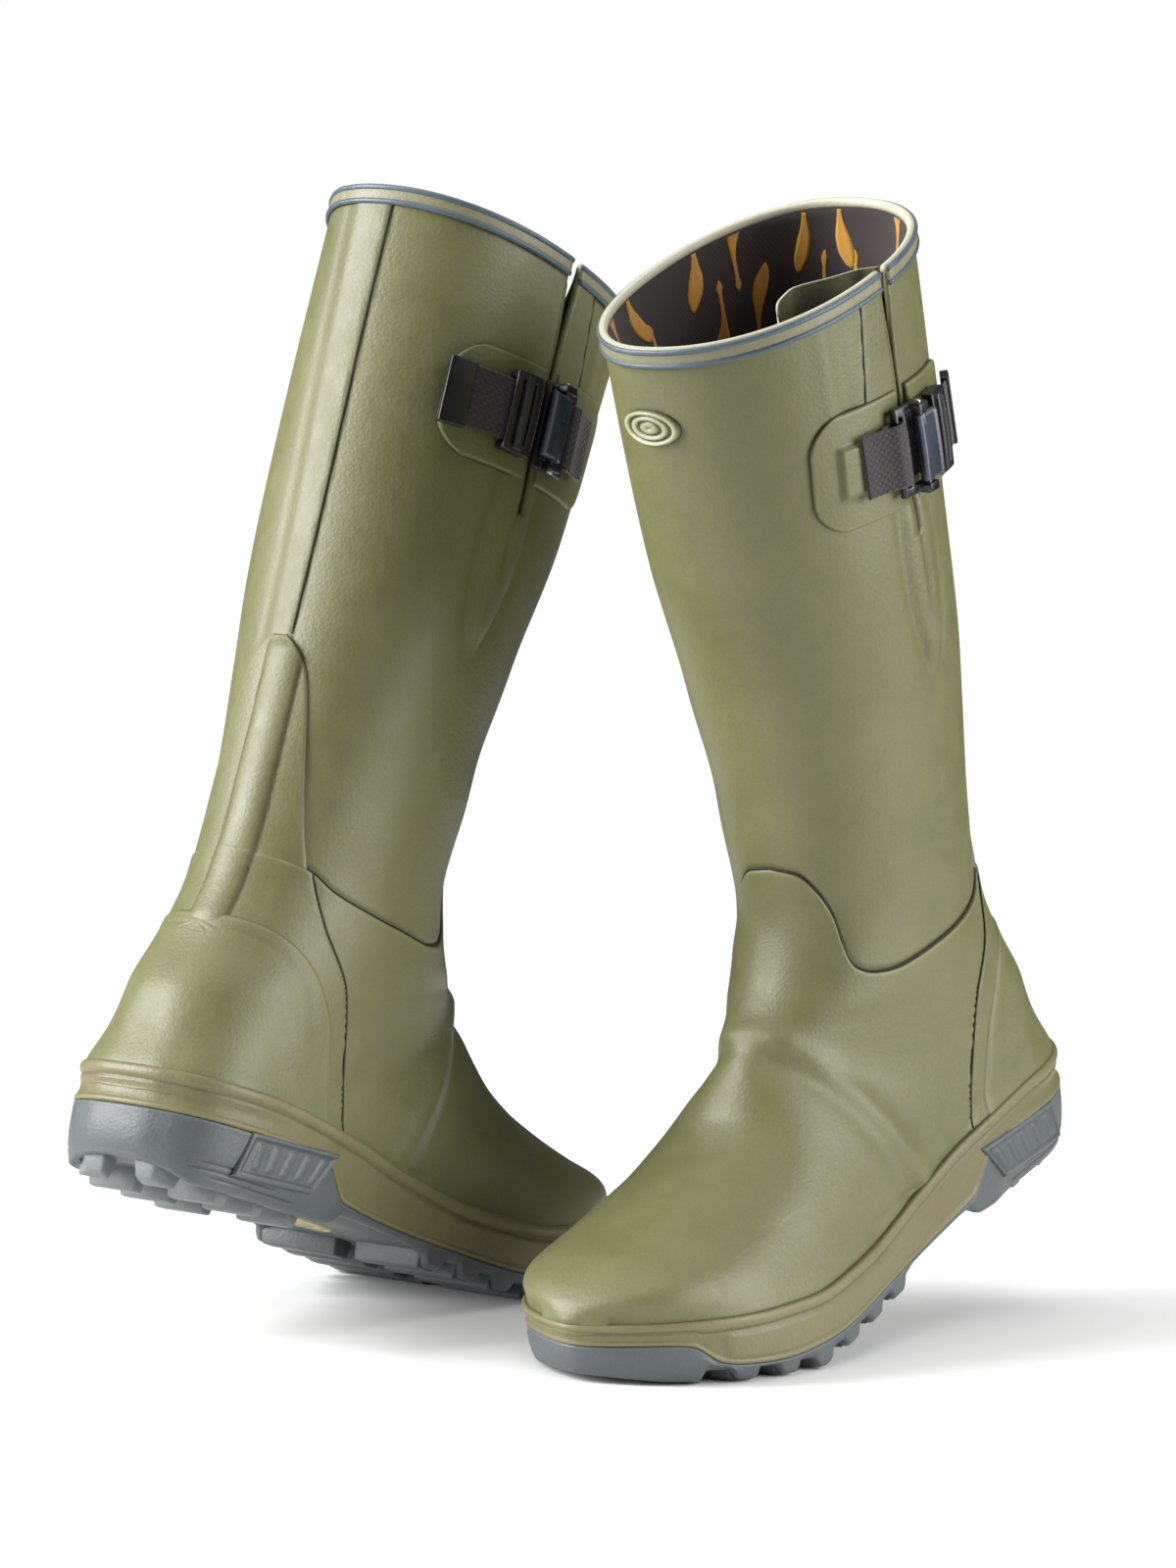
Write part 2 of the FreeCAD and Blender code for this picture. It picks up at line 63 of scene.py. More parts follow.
# The boot's sections, from the rim (0) to the toe (19): back and front as (x, z), half width,
# where it is widest, how square the front and back are, and the shift to the outer side.
STATIONS = (
    (22.5, RIM_BACK, 170, RIM_FRONT, 57, .50, 2.2, 2.2, 0),
    (24.5, 358, 164.5, 351, 56.5, .50, 2.2, 2.2, 0),
    (27.5, 299, 157.5, 298, 55, .50, 2.2, 2.2, 0.5),
    (29.5, 244, 146, 244, 51, .50, 2.2, 2.2, 1),
    (30.5, 193, 142.5, 193, 44.5, .50, 2.2, 2.2, 1),
    (30.5, 158, 143, 158, 41.5, .50, 2.2, 2.2, 0.5),
    (28, 130, 152, 134, 39.5, .48, 2.2, 2.2, 0),
    (20, 103, 162, 123, 39, .45, 2.2, 2.3, 0),
    (8.5, 76, 170, 117, 38.5, .42, 2.1, 2.4, 0),
    (6, 50, 176, 112, 38, .38, 2.1, 2.6, 0),
    (20, 27, 181, 107, 37.5, .36, 2.1, 2.8, 0),
    (70, 22, 186, 102, 38.5, .36, 2.1, 3.0, 0),
    (125, 22, 191, 96, 41, .34, 2.1, 3.0, -1),
    (170, 22, 198, 88, 44, .32, 2.1, 3.0, -2),
    (205, 22, 213, 80, 46, .32, 2.1, 3.0, -3),
    (235, 25, 238, 74, 45.5, .34, 2.1, 3.0, -3.5),
    (262, 31, 263, 69, 42, .38, 2.1, 2.8, -4.5),
    (281, 38, 282, 64, 34.5, .42, 2.1, 2.6, -5.5),
    (291, 43, 291, 59.5, 26, .48, 2.1, 2.3, -5.5),
    (297, 48, 297, 55, 13, .50, 2.1, 2.1, -5),
)
# How far the inner side is pressed flat towards the rim, by station.
SQUEEZE = ((0, 10), (1, 6.5), (2, 2.5), (3, 0), (19, 0))
# The sole seen from above: x, half width and the middle line's y.
FOOTPRINT = (
    (0, 14, 0), (5, 26, 0), (16, 36, 0), (38, 41, 0), (75, 41.5, 0), (112, 40.5, 0),
    (150, 44, -1), (190, 50, -2), (222, 53, -3), (250, 51, -3.6), (275, 43, -4.8),
    (292, 30, -5.7), (302, 16, -5.5), (306, 6, -5),
)
# Heights along the sole's side: where the grey outsole ends, and the tan band's top.
GREY_LINE = ((-6, 30), (50, 30), (80, 28), (96, 15), (150, 11), (200, 10), (232, 13), (262, 21),
             (273, 26), (282, 36), (292, 40), (314, 45))
BAND_TOP = ((-6, 46), (35, 46), (95, 41), (130, 35), (176, 30), (210, 31), (243, 37), (284, 47),
            (314, 54))
HALF_WIDTHS = [(r[0], r[1]) for r in FOOTPRINT]
CENTRES = [(r[0], r[2]) for r in FOOTPRINT]
# Height of the ankle seam round the leg, by the angle from the shin in degrees.
ANKLE_SEAM = ((0, 174), (13, 172), (22, 165), (30, 154), (36, 143), (45, 132), (56, 127), (68, 125),
              (86, 126), (104, 128), (120, 131), (137, 137), (180, 141))


# ---- numbers --------------------------------------------------------------------------------
def curve(points, x):
    """The smooth curve without overshoot that the CAD draws through (x, value) points."""
    px, py = (np.array(v, float) for v in zip(*points))
    steps = np.diff(px)
    grades = np.diff(py) / steps
    before, after = grades[:-1], grades[1:]
    same = before * after > 0
    inner = np.where(same, 2 * before * after / np.where(same, before + after, 1.0), 0.0)
    slopes = np.concatenate(([grades[0]], inner, [grades[-1]]))
    x = np.asarray(x, float)
    i = np.clip(np.searchsorted(px, x) - 1, 0, len(steps) - 1)
    f = (x - px[i]) / steps[i]
    rise = f * f * (3 - 2 * f)
    bend = slopes[i] * f * (1 - f) ** 2 + slopes[i + 1] * f * f * (f - 1)
    return py[i] + (py[i + 1] - py[i]) * rise + steps[i] * bend


def ease(f):
    f = np.clip(f, 0.0, 1.0)
    return f * f * (3 - 2 * f)


def bell(d, width):
    return np.exp(-(d / width) ** 2)


def circle(count):
    return np.linspace(0, 2 * PI, count, endpoint=False)


def unit(v):
    return v / (np.linalg.norm(v, axis=-1, keepdims=True) + 1e-12)


COLUMNS = [[(i, row[k]) for i, row in enumerate(STATIONS)] for k in range(9)]


def fan(t, u, grow=0.0):
    """Points on the boot's surface, pushed out by grow; u starts at the shin and rises outside."""
    t, u, grow = np.broadcast_arrays(np.asarray(t, float), u, grow)
    kx, kz, fx, fz, half, widest, front, back, shift = (curve(c, t) for c in COLUMNS)
    length = np.hypot(fx - kx, fz - kz)
    ux, uz = (fx - kx) / length, (fz - kz) / length
    c, s = np.cos(u), np.sin(u)
    power = 2.0 / np.where(c > 0, front, back)
    along = np.sign(c) * np.abs(c) ** power
    side = np.sign(s) * np.abs(s) ** power
    half = half - np.where(s < 0, curve(SQUEEZE, np.maximum(t, 0)), 0.0)
    reach = np.where(c > 0, 1 - widest, widest) * length
    run = widest * length + along * (reach + grow)
    toe = ease((kx - 225) / 60) * grow
    return np.stack([kx + ux * run + toe, shift + side * (half + grow), kz + uz * run], -1)


def nearest(points, among):
    """For each point, which of the others is the closest; worked out in parts."""
    return np.concatenate([((part[:, None] - among) ** 2).sum(-1).argmin(1)
                           for part in np.array_split(points, max(1, len(points) // 1500))])


def locate(p, q, axes, low, high):
    """The (t, u) whose surface point is at p and q on two axes, with u between two degrees."""
    shape = np.broadcast(p, q).shape
    want = np.stack(np.broadcast_arrays(np.asarray(p, float), q), -1).reshape(-1, 2)
    ts, us = np.meshgrid(np.linspace(-0.1, 12, 110), np.linspace(low * DEG, high * DEG, 50),
                         indexing="ij")
    best = nearest(want, fan(ts, us)[..., axes].reshape(-1, 2))
    t, u = ts.ravel()[best].copy(), us.ravel()[best].copy()
    e = 1e-4
    # Newton's steps from the nearest place of the coarse grid
    for _ in range(8):
        here = fan(t, u)[..., axes]
        dt = (fan(t + e, u)[..., axes] - here) / e
        du = (fan(t, u + e)[..., axes] - here) / e
        miss = want - here
        det = dt[:, 0] * du[:, 1] - dt[:, 1] * du[:, 0]
        det = np.where(np.abs(det) < 1e-6, 1e-6, det)
        t += np.clip((miss[:, 0] * du[:, 1] - miss[:, 1] * du[:, 0]) / det, -0.4, 0.4)
        u += np.clip((dt[:, 0] * miss[:, 1] - dt[:, 1] * miss[:, 0]) / det, -0.2, 0.2)
    return t.reshape(shape), u.reshape(shape)


def pace(t, u):
    """Millimetres along the surface for one unit of t."""
    return np.linalg.norm(fan(t + 0.02, u) - fan(t - 0.02, u), axis=-1) / 0.04


def bisect(low, high, beyond):
    """Halves each range until it closes on the place where beyond() turns true."""
    for _ in range(HALVINGS):
        middle = (low + high) / 2
        past = beyond(middle)
        low, high = np.where(past, middle, low), np.where(past, high, middle)
    return (low + high) / 2


def height_at(z, u, low=0.0, high=9.0):
    """The t where the surface at angle u is z high."""
    return bisect(np.full(np.shape(u), low), np.full(np.shape(u), high),
                  lambda t: fan(t, u)[..., 2] > z)


def path_length(points):
    """The length along a path up to each of its points."""
    return np.linalg.norm(np.diff(points, axis=0, prepend=points[:1]), axis=-1).cumsum()


def through(knots, s):
    """A smooth path through evenly spaced knots, at the fractions s of its way."""
    places = np.linspace(0, 1, len(knots))
    return np.stack([curve(list(zip(places, column)), s) for column in zip(*knots)], -1)


def to_line(points, corners):
    """Distance from each point to a polyline, in as many dimensions as the corners have."""
    corners = np.asarray(corners, float)
    best = np.full(points.shape[:-1], 1e9)
    for a, b in zip(corners, corners[1:]):
        f = np.clip(((points - a) @ (b - a)) / ((b - a) @ (b - a)), 0, 1)
        best = np.minimum(best, np.linalg.norm(points - a - f[..., None] * (b - a), axis=-1))
    return best


def ground(x):
    return np.maximum(0.0, x - SPRING_START) * math.tan(PITCH)


def with_edges(length, spacing, steps=(0.0, 0.12, 0.4, 0.8, 1.4)):
    """Places along a length, closer together near both ends, for a rolled edge."""
    inner = np.linspace(steps[-1], length - steps[-1], max(3, int(length / spacing)))
    return np.concatenate([steps[:-1], inner, length - np.array(steps[-2::-1])])


def roll(d, radius):
    """Rounded shoulder: 0 on the edge, 1 from radius inwards."""
    f = np.clip(d / radius, 0, 1)
    return np.sqrt(1 - (1 - f) ** 2)


# ---- placing and meshes ---------------------------------------------------------------------
def turned(points, side):
    x, y, z = np.moveaxis(np.asarray(points, float), -1, 0)
    forward = x * math.cos(PITCH) + z * math.sin(PITCH)
    up = z * math.cos(PITCH) - x * math.sin(PITCH)
    return np.stack([y, -forward if side == "left" else forward, up], -1)


SIDE_TOP = float(fan(*locate(SLIT_X, STRAP_Z, [0, 2], 40, 140))[1])
ORIGIN = {}
for _side in SIDES:
    _low, _high = (np.array(corner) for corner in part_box(_side + "_lever_pin"))
    ORIGIN[_side] = (_low + _high) / 2 - turned((PIN_X, SIDE_TOP + PIN_LIFT, STRAP_Z), _side) / 1000


def place(points, side):
    return turned(points, side) / 1000 + ORIGIN[side]


def quads(rows, cols, wrap=False, keep=None):
    i = np.arange(rows - 1)[:, None]
    j = np.arange(cols if wrap else cols - 1)[None, :]
    k = (j + 1) % cols
    faces = np.stack([i * cols + j, i * cols + k, (i + 1) * cols + k, (i + 1) * cols + j], -1)
    return faces.reshape(-1, 4) if keep is None else faces[keep]


def closed(faces, count):
    """Outer faces, the same faces reversed on the inner copy, and strips along the open borders."""
    edges = np.concatenate([faces[:, [i, (i + 1) % 4]] for i in range(4)])
    span = count + 1
    code, back = edges[:, 0] * span + edges[:, 1], edges[:, 1] * span + edges[:, 0]
    rim = edges[~np.isin(code, back)]
    strips = np.stack([rim[:, 1], rim[:, 0], rim[:, 0] + count, rim[:, 1] + count], -1)
    return np.concatenate([faces, faces[:, ::-1] + count, strips])


def volume(points, faces):
    p = points[faces]
    return (np.einsum("ij,ij->i", p[:, 0], np.cross(p[:, 1], p[:, 2]))
            + np.einsum("ij,ij->i", p[:, 0], np.cross(p[:, 2], p[:, 3]))).sum()


def piece(name, points, faces, slot, body="boot", tone=None, uv=None, replaces=(), sharp=0.0):
    """A named mesh piece for both boots, standing for the CAD nodes that it replaces.

    It stands for the CAD node of its own name where there is one and no other is given.
    """
    points = np.asarray(points, float).reshape(-1, 3)
    faces = np.asarray(faces)
    used = np.unique(faces)
    order = np.full(len(points), -1)
    order[used] = np.arange(len(used))
    faces, points = order[faces], points[used]
    replaces = replaces or [name] * (f"{SIDES[0]}_{name}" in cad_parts)
    things = []
    for side in SIDES:
        placed = place(points, side)
        facing = faces[:, ::-1] if volume(placed - placed.mean(0), faces) < 0 else faces
        mesh = bpy.data.meshes.new(name)
        mesh.from_pydata(placed.tolist(), [], [list(dict.fromkeys(f)) for f in facing.tolist()])
        if tone is not None:
            layer = mesh.attributes.new("tone", "FLOAT", "POINT")
            layer.data.foreach_set("value", np.float32(tone).ravel()[used])
        if uv is not None:
            flat = np.float32(uv).reshape(-1, 2)[used]
            loops = np.zeros(len(mesh.loops), int)
            mesh.loops.foreach_get("vertex_index", loops)
            mesh.uv_layers.new(name="UVMap").data.foreach_set("uv", flat[loops].ravel())
        mesh.polygons.foreach_set("use_smooth", [True] * len(mesh.polygons))
        mesh.validate()
        mesh.update()
        if sharp:
            mesh.set_sharp_from_angle(angle=sharp)
        thing = bpy.data.objects.new(f"{side}_{name}_look", mesh)
        bpy.context.scene.collection.objects.link(thing)
        mesh.materials.append(MATERIALS[slot])
        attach(thing, f"{side}_{body}")
        if replaces:
            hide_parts(*[f"{side}_{node}" for node in replaces])
        things.append(thing)
    return things


def slab(name, outer, inner, slot, tone=None, wrap=False, keep=None, uv=None, **rest):
    """A sheet with thickness between two grids of points."""
    rows, cols = outer.shape[:2]
    faces = closed(quads(rows, cols, wrap, keep), rows * cols)
    plain = np.zeros(rows * cols)
    if uv is not None:
        uv = np.concatenate([uv.reshape(-1, 2)] * 2)
    return piece(name, np.concatenate([outer.reshape(-1, 3), inner.reshape(-1, 3)]), faces, slot,
                 tone=np.concatenate([plain if tone is None else tone.ravel(), plain]), uv=uv,
                 **rest)


def tube(name, sections, slot, tone=0.0, **rest):
    """A closed profile carried along sections (sections x profile x 3), capped at both ends."""
    count, around = sections.shape[:2]
    j = np.arange(around)
    k, last, hub = (j + 1) % around, (count - 1) * around, np.full(around, count * around)
    faces = np.concatenate([quads(count, around, True), np.stack([k, j, hub, hub], -1),
                            np.stack([last + j, last + k, hub + 1, hub + 1], -1)])
    points = np.concatenate([sections.reshape(-1, 3), sections[[0, -1]].mean(1)])
    tones = np.append(np.broadcast_to(tone, (count, around)), [0.0, 0.0])
    return piece(name, points, faces, slot, tone=tones, **rest)


def hoop(name, rings, slot, **rest):
    """A closed skin of rings (rings x places x 3), the last of which meets the first."""
    count, around = rings.shape[:2]
    j = np.arange(around)
    k, last = (j + 1) % around, (count - 1) * around
    faces = np.concatenate([quads(count, around, True), np.stack([k, j, j + last, k + last], 1)])
    return piece(name, rings, faces, slot, **rest)


# ---- materials ------------------------------------------------------------------------------
GRAIN_SCALE = 1100.0
SRGB_KNEE = 0.04045


def srgb(colour):
    """A colour in 0 to 255 display steps, as linear values."""
    return tuple(v / 255 / 12.92 if v / 255 <= SRGB_KNEE else ((v / 255 + 0.055) / 1.055) ** 2.4
                 for v in colour) + (1.0,)


def scaled(colour, gain, lift=0.0):
    return tuple(min(1, c * gain + lift) for c in colour[:3]) + (1.0,)


class Nodes:
    """A node tree being built; inputs are values or the output sockets to link."""

    def __init__(self, tree):
        self.tree = tree

    def put(self, socket, value):
        if isinstance(value, bpy.types.NodeSocket):
            self.tree.links.new(value, socket)
        else:
            socket.default_value = value

    def add(self, kind, settings=None, **inputs):
        node = self.tree.nodes.new("ShaderNode" + kind)
        for key, value in (settings or {}).items():
            setattr(node, key, value)
        for key, value in inputs.items():
            self.put(node.inputs[int(key[1:]) if key[0] == "_" else key], value)
        return node

    def mix(self, factor, a, b, blend="MIX"):
        return self.add("Mix", {"data_type": "RGBA", "blend_type": blend},
                        _0=factor, _6=a, _7=b).outputs[2]

    def math(self, operation, a, b=0.0, clamp=False):
        return self.add("Math", {"operation": operation, "use_clamp": clamp}, _0=a, _1=b).outputs[0]

    def weighted(self, a, a_share, b, b_share):
        return self.math("ADD", self.math("MULTIPLY", a, a_share),
                         self.math("MULTIPLY", b, b_share))

    def noise(self, at, scale, detail, roughness=0.5):
        return self.add("TexNoise", Vector=at, Scale=float(scale), Detail=detail,
                        Roughness=roughness).outputs[0]

    def toned(self, colour, dark, pale):
        """The colour turned dark where the piece's tone is below 0, and pale where it is above:
        mostly painted shade and painted highlights, on some pieces their real paler colour.
        """
        tone = self.add("Attribute", {"attribute_name": "tone"}).outputs["Fac"]
        colour = self.mix(self.math("MULTIPLY", tone, -1.0, True), colour, dark)
        return self.mix(self.math("MULTIPLY", tone, 1.0, True), colour, pale)

    def bump(self, height, strength, distance):
        return self.add("Bump", Height=height, Strength=strength, Distance=distance).outputs[0]


def new_material(name):
    """A material, its node builder, its shader's inputs and the object's coordinates."""
    made = bpy.data.materials.new(name)
    made.use_nodes = True
    nodes = Nodes(made.node_tree)
    return (made, nodes, made.node_tree.nodes["Principled BSDF"].inputs,
            nodes.add("TexCoord").outputs["Object"])


def moulded(name, base, shade, roughness, grain=0.0002, spread=0.5, coat=0.0, pale_and_highlight=None, sheen=0.0):
    """Moulded rubber or plastic: cloudy colour, fine pebbled grain, painted shade at seams and
    edges, and paler edges that are painted highlights or the piece's own paler colour.
    """
    made, nodes, inputs, at = new_material(name)
    base, shade = srgb(base), srgb(shade)
    patch, fine = nodes.noise(at, 70.0, 5.0, 0.6), nodes.noise(at, GRAIN_SCALE, 2.0)
    pebbles = nodes.add("TexVoronoi", Vector=at, Scale=GRAIN_SCALE * 0.55).outputs[0]
    both = nodes.weighted(nodes.noise(at, 11.0, 4.0, 0.55), 0.6, patch, 0.4)
    ramp = nodes.add("MapRange", _0=both, _1=0.5 - spread / 4, _2=0.5 + spread / 4).outputs[0]
    speck = nodes.add("MapRange", _0=fine, _1=0.3, _2=0.7, _3=0.93, _4=1.05).outputs[0]
    colour = nodes.mix(1.0, nodes.mix(ramp, shade, base), speck, "MULTIPLY")
    # the tone paints shade (dark end) and highlights (pale end); pale_and_highlight is also the
    # real pale colour of the cream lip, the bound edge and the badge rings
    nodes.put(inputs["Base Color"], nodes.toned(colour, scaled(shade, 0.16),
                                                srgb(pale_and_highlight) if pale_and_highlight else scaled(base, 1.7, 0.02)))
    nodes.put(inputs["Roughness"], nodes.add("MapRange", _0=patch, _1=0.3, _2=0.7,
                                             _3=roughness - 0.06, _4=roughness + 0.07).outputs[0])
    height = nodes.math("ADD", fine, nodes.math("MULTIPLY", pebbles, 0.7))
    nodes.put(inputs["Normal"], nodes.bump(height, 0.5, grain))
    inputs["Coat Weight"].default_value = coat
    inputs["Coat Roughness"].default_value = 0.35
    inputs["Sheen Weight"].default_value = sheen
    return made


def woven(name, base, shade, pitch, roughness=0.8, strength=0.5):
    """Cloth or webbing with an over-and-under weave laid along the piece's own UV, in metres."""
    made, nodes, inputs, at = new_material(name)
    base, shade = srgb(base), srgb(shade)
    parts = nodes.add("SeparateXYZ", _0=nodes.add("TexCoord").outputs["UV"]).outputs
    waves = [nodes.math("SINE", nodes.math("MULTIPLY", parts[k], PI / pitch[k])) for k in (0, 1)]
    weave = nodes.add("MapRange", _0=nodes.math("MULTIPLY", *waves), _1=-1.0, _2=1.0).outputs[0]
    colour = nodes.mix(nodes.weighted(weave, 0.55, nodes.noise(at, 25.0, 4.0), 0.45), shade, base)
    # the tone's dark end is painted shade, in the webbing's rib valleys
    nodes.put(inputs["Base Color"], nodes.toned(colour, scaled(shade, 0.2), scaled(base, 2.2)))
    height = nodes.math("ADD", weave, nodes.math("MULTIPLY", nodes.noise(at, 900.0, 3.0), 0.5))
    nodes.put(inputs["Normal"], nodes.bump(height, strength, 0.0003))
    inputs["Roughness"].default_value = roughness
    inputs["Sheen Weight"].default_value = 0.25
    return made


def metal(name, base, roughness):
    made, nodes, inputs, at = new_material(name)
    brushed = nodes.noise(at, 500.0, 4.0)
    nodes.put(inputs["Base Color"], nodes.mix(brushed, scaled(srgb(base), 0.8), srgb(base)))
    nodes.put(inputs["Roughness"], nodes.add("MapRange", _0=brushed, _3=roughness - 0.08,
                                             _4=roughness + 0.1).outputs[0])
    nodes.put(inputs["Normal"], nodes.bump(brushed, 0.2, 0.0001))
    inputs["Metallic"].default_value = 1.0
    return made


MATERIALS = {
    "shell_rubber": moulded("olive_rubber", (107, 106, 69), (90, 92, 55), 0.48, spread=1.0),
    "band_rubber": moulded("tan_rubber", (108, 102, 68), (95, 90, 57), 0.48, spread=0.8),
    "sole_rubber": moulded("grey_rubber", (80, 86, 87), (68, 74, 76), 0.48, spread=0.8),
    "lug_rubber": moulded("pale_lug_rubber", (108, 113, 114), (94, 100, 101), 0.5),
    "rim_tape": moulded("rim_cream", (122, 119, 86), (108, 105, 72), 0.5,
                        pale_and_highlight=(188, 186, 164)),
    "rim_cord": moulded("rim_blue_grey", (82, 96, 106), (68, 81, 91), 0.45),
    "seam": moulded("seam_shadow", (34, 33, 18), (26, 25, 13), 0.7),
    "inlay_rubber": moulded("inlay", (176, 168, 112), (160, 152, 98), 0.5),
    "footbed_foam": moulded("footbed", (60, 62, 58), (44, 46, 42), 0.9, sheen=0.3),
    "black_plastic": moulded("black_plastic", (19, 19, 23), (13, 13, 16), 0.34,
                             grain=0.00006, coat=0.15, pale_and_highlight=(120, 122, 132)),
    "lever_plastic": moulded("lever_plastic", (44, 51, 63), (34, 41, 52), 0.28,
                             grain=0.00004, coat=0.25, pale_and_highlight=(130, 138, 150)),
    "badge_pale": moulded("badge_pale", (122, 124, 84), (110, 112, 74), 0.42,
                          pale_and_highlight=(190, 192, 152)),
    "gusset_cloth": moulded("gusset_cloth", (94, 94, 58), (60, 58, 42), 0.75,
                            pale_and_highlight=(190, 188, 160)),
    "printed_lining": woven("dark_lining", (44, 36, 31), (30, 25, 22), (0.0009, 0.0009), 0.9, 0.25),
    "ochre_ink": woven("ochre_print", (196, 142, 44), (168, 116, 34), (0.0011, 0.0011), 0.85),
    "webbing": woven("webbing", (56, 45, 47), (21, 16, 18), (0.00147, 0.0015), 0.75, 0.8),
    "pin_steel": metal("pin_steel", (190, 192, 196), 0.3),
    "shank_steel": metal("shank_steel", (140, 142, 146), 0.45),
    "stiffener_board": moulded("board", (150, 128, 96), (130, 110, 80), 0.9),
    "neoprene": moulded("neoprene", (40, 42, 40), (30, 32, 30), 0.95),
}


# ---- the leg --------------------------------------------------------------------------------
def edge_angles(sign):
    """The angles of the slit's front (sign 1) or back edge along t; it widens at the rim."""
    t = np.linspace(-0.2, 4.2, 180)
    x = SLIT_X + sign * (SLIT_HALF + 2.1 * ease((0.8 - t) / 0.8))
    low, high = np.full(t.shape, 40 * DEG), np.full(t.shape, 140 * DEG)
    return t, bisect(low, high, lambda u: fan(t, u)[..., 0] > x)


SLIT_EDGES = [edge_angles(1), edge_angles(-1)]


def slit_angles(t):
    """The angles of the slit's front and back edges at t."""
    return [np.interp(t, *edge) for edge in SLIT_EDGES]


def leg_grid(end, rows, cols, start=0.0, gap_cols=6):
    """A (t, u) grid round the leg whose columns follow the slit's two edges.

    The first cols columns run from the slit's back edge round to its front edge, and the rest
    cross the slit.  end gives the last t for each angle.
    """
    around, across = np.linspace(0, 1, cols), np.linspace(0, 1, gap_cols + 2)[1:-1]

    def angles(t):
        front, back = slit_angles(t)
        round_leg = back[..., :cols] + around * (2 * PI + front[..., :cols] - back[..., :cols])
        gap = 2 * PI + front[..., cols:] + across * (back[..., cols:] - front[..., cols:])
        return np.concatenate([round_leg, gap], -1)

    last = end(angles(np.full(cols + gap_cols, 2.0)))
    t = start + np.linspace(0, 1, rows)[:, None] * (last[None] - start)
    return t, angles(np.clip(t, -0.1, 4.0))


def seam_height(u):
    return curve(ANKLE_SEAM, np.abs((u / DEG + 180) % 360 - 180))


def lining_depth(t):
    """How far the lining lies from the boot's surface: it flares out to meet the rim."""
    return 5.2 * ease(1 - t / 0.7) - CAVITY


def slit_keep(t, u, cols):
    """Which faces stay: all but the slit above its foot."""
    z = fan(t, u)[..., 2]
    keep = np.ones((len(t) - 1, t.shape[1]), bool)
    keep[:, cols - 1:] = ((z[:-1] + z[1:]) / 2)[:, cols - 1:] < SLIT_BOTTOM
    return keep


def back_pad(points, u):
    """Raised padded strip down the back of the ankle, with painted shade along its edges."""
    y, z = points[..., 1], points[..., 2]
    behind = np.cos(u) < -0.55
    centre = 2.0 + (z - 110) * 0.02
    across = np.clip(1 - ((y - centre) / 8.5) ** 2, 0, 1)
    along = ease((z - 104) / 9) * ease((228 - z) / 8)
    rise = 2.3 * np.sqrt(across) * along
    edge = np.abs(np.abs(y - centre) - 8.5)
    # painted shade in the creases along the pad's edges
    tone = -0.55 * bell(edge, 0.8) * along
    return np.where(behind, rise, 0.0), np.where(behind, tone, 0.0)


def leg_relief(points, u):
    """Height of the leg's moulded lines, folds and pleat, and their tone: painted shade in the
    pleat's middle crease.
    """
    x, y, z = np.moveaxis(points, -1, 0)
    outer = np.sin(u) > 0.2
    rise, tone = np.zeros(x.shape), np.zeros(x.shape)

    # overlap line in front of the slit, down to the tab
    mark = 107 + (394 - z) * 0.11
    reach = ease((z - 350) / 6) * outer
    rise += 0.55 * ease((mark - x) / 1.0 + 0.5) * (x > SLIT_X - 3) * reach
    # a soft fold beside it
    fold = 122 - (394 - z) * 0.05
    rise -= 0.8 * bell(x - fold, 4.5) * reach
    rise += 0.5 * bell(x - fold - 7, 4.0) * reach

    # pleat under the strap: a leaf between two creases, with folds running into it
    along = np.clip((z - 236) / 66, 0, 1)
    middle = 84 + 4 * along
    width = 1.0 + 10.5 * np.sin(PI * np.clip(along, 0, 1) ** 0.8 * 0.62)
    side = (x - middle) / width
    leaf = outer * ease((z - 236) / 16) * ease((332 - z) / 30)
    rise += 2.4 * leaf * np.clip(1 - side ** 2, 0, 1)
    rise -= 1.0 * leaf * bell((np.abs(side) - 1.12) * width, 2.4)
    rise -= 1.3 * leaf * bell(x - middle - 0.5, 1.6) * ease((z - 262) / 20)
    # painted shade in the pleat's middle crease
    tone -= 0.25 * leaf * bell(x - middle - 0.5, 0.9) * ease((z - 262) / 20)

    # back seam and the strip behind it
    behind = np.cos(u) < -0.5
    mark = 5.0 + (z - 227) * 0.035
    high = ease((z - 222) / 4)
    strip = ease((mark - y) / 1.0 + 0.5) * ease((y + 9) / 5)
    rise += 0.7 * behind * high * strip
    rise -= 0.35 * behind * high * bell(y + 11, 2.0)

    # shallow dents and rings of soft rubber above the ankle
    dents = np.sin(z * 0.105 + 1.7 * np.cos(u)) * (0.35 + 0.65 * (np.cos(u) > 0))
    rise += 0.55 * dents * bell(z - 190, 34)
    rise += 0.5 * np.sin(2 * u + z * 0.021) * bell(z - 285, 60)
    return rise, tone


def make_leg():
    cols = 236

    def end(u):
        t = height_at(seam_height(u), u)
        return t + 5.0 / pace(t, u)

    t, u = leg_grid(end, 168, cols, start=0.03)
    base = fan(t, u)
    rise, tone = leg_relief(base, u)
    seam = base[..., 2] - seam_height(u)
    rise -= 0.45 * bell(seam - 0.6, 1.0)
    # painted shade along the ankle seam, over the overlay's edge
    tone -= 0.35 * bell(seam - 0.8, 1.2)
    thick = 1.7
    slab("shaft_shell", fan(t, u, rise), fan(t, u, np.minimum(rise, 0) - thick), "shell_rubber",
         tone, True, slit_keep(t, u, cols))

    # quilted bootie: printed textile outside in, from the rim to the toe
    cols = 150
    t, u = leg_grid(lambda a: np.full(a.shape, 17.6), 190, cols, start=0.012, gap_cols=4)
    inside, outside = fan(t, u, lining_depth(t)), fan(t, u, lining_depth(t) + 0.9)
    around = np.linalg.norm(np.diff(inside, axis=1, prepend=inside[:, :1]), axis=-1).cumsum(1)
    down = np.linalg.norm(np.diff(inside, axis=0, prepend=inside[:1]), axis=-1).cumsum(0)
    slab("lining", outside, inside, "printed_lining", None, True, slit_keep(t, u, cols),
         uv=np.stack([around, down], -1) / 1000, replaces=("lining", "insulation"))


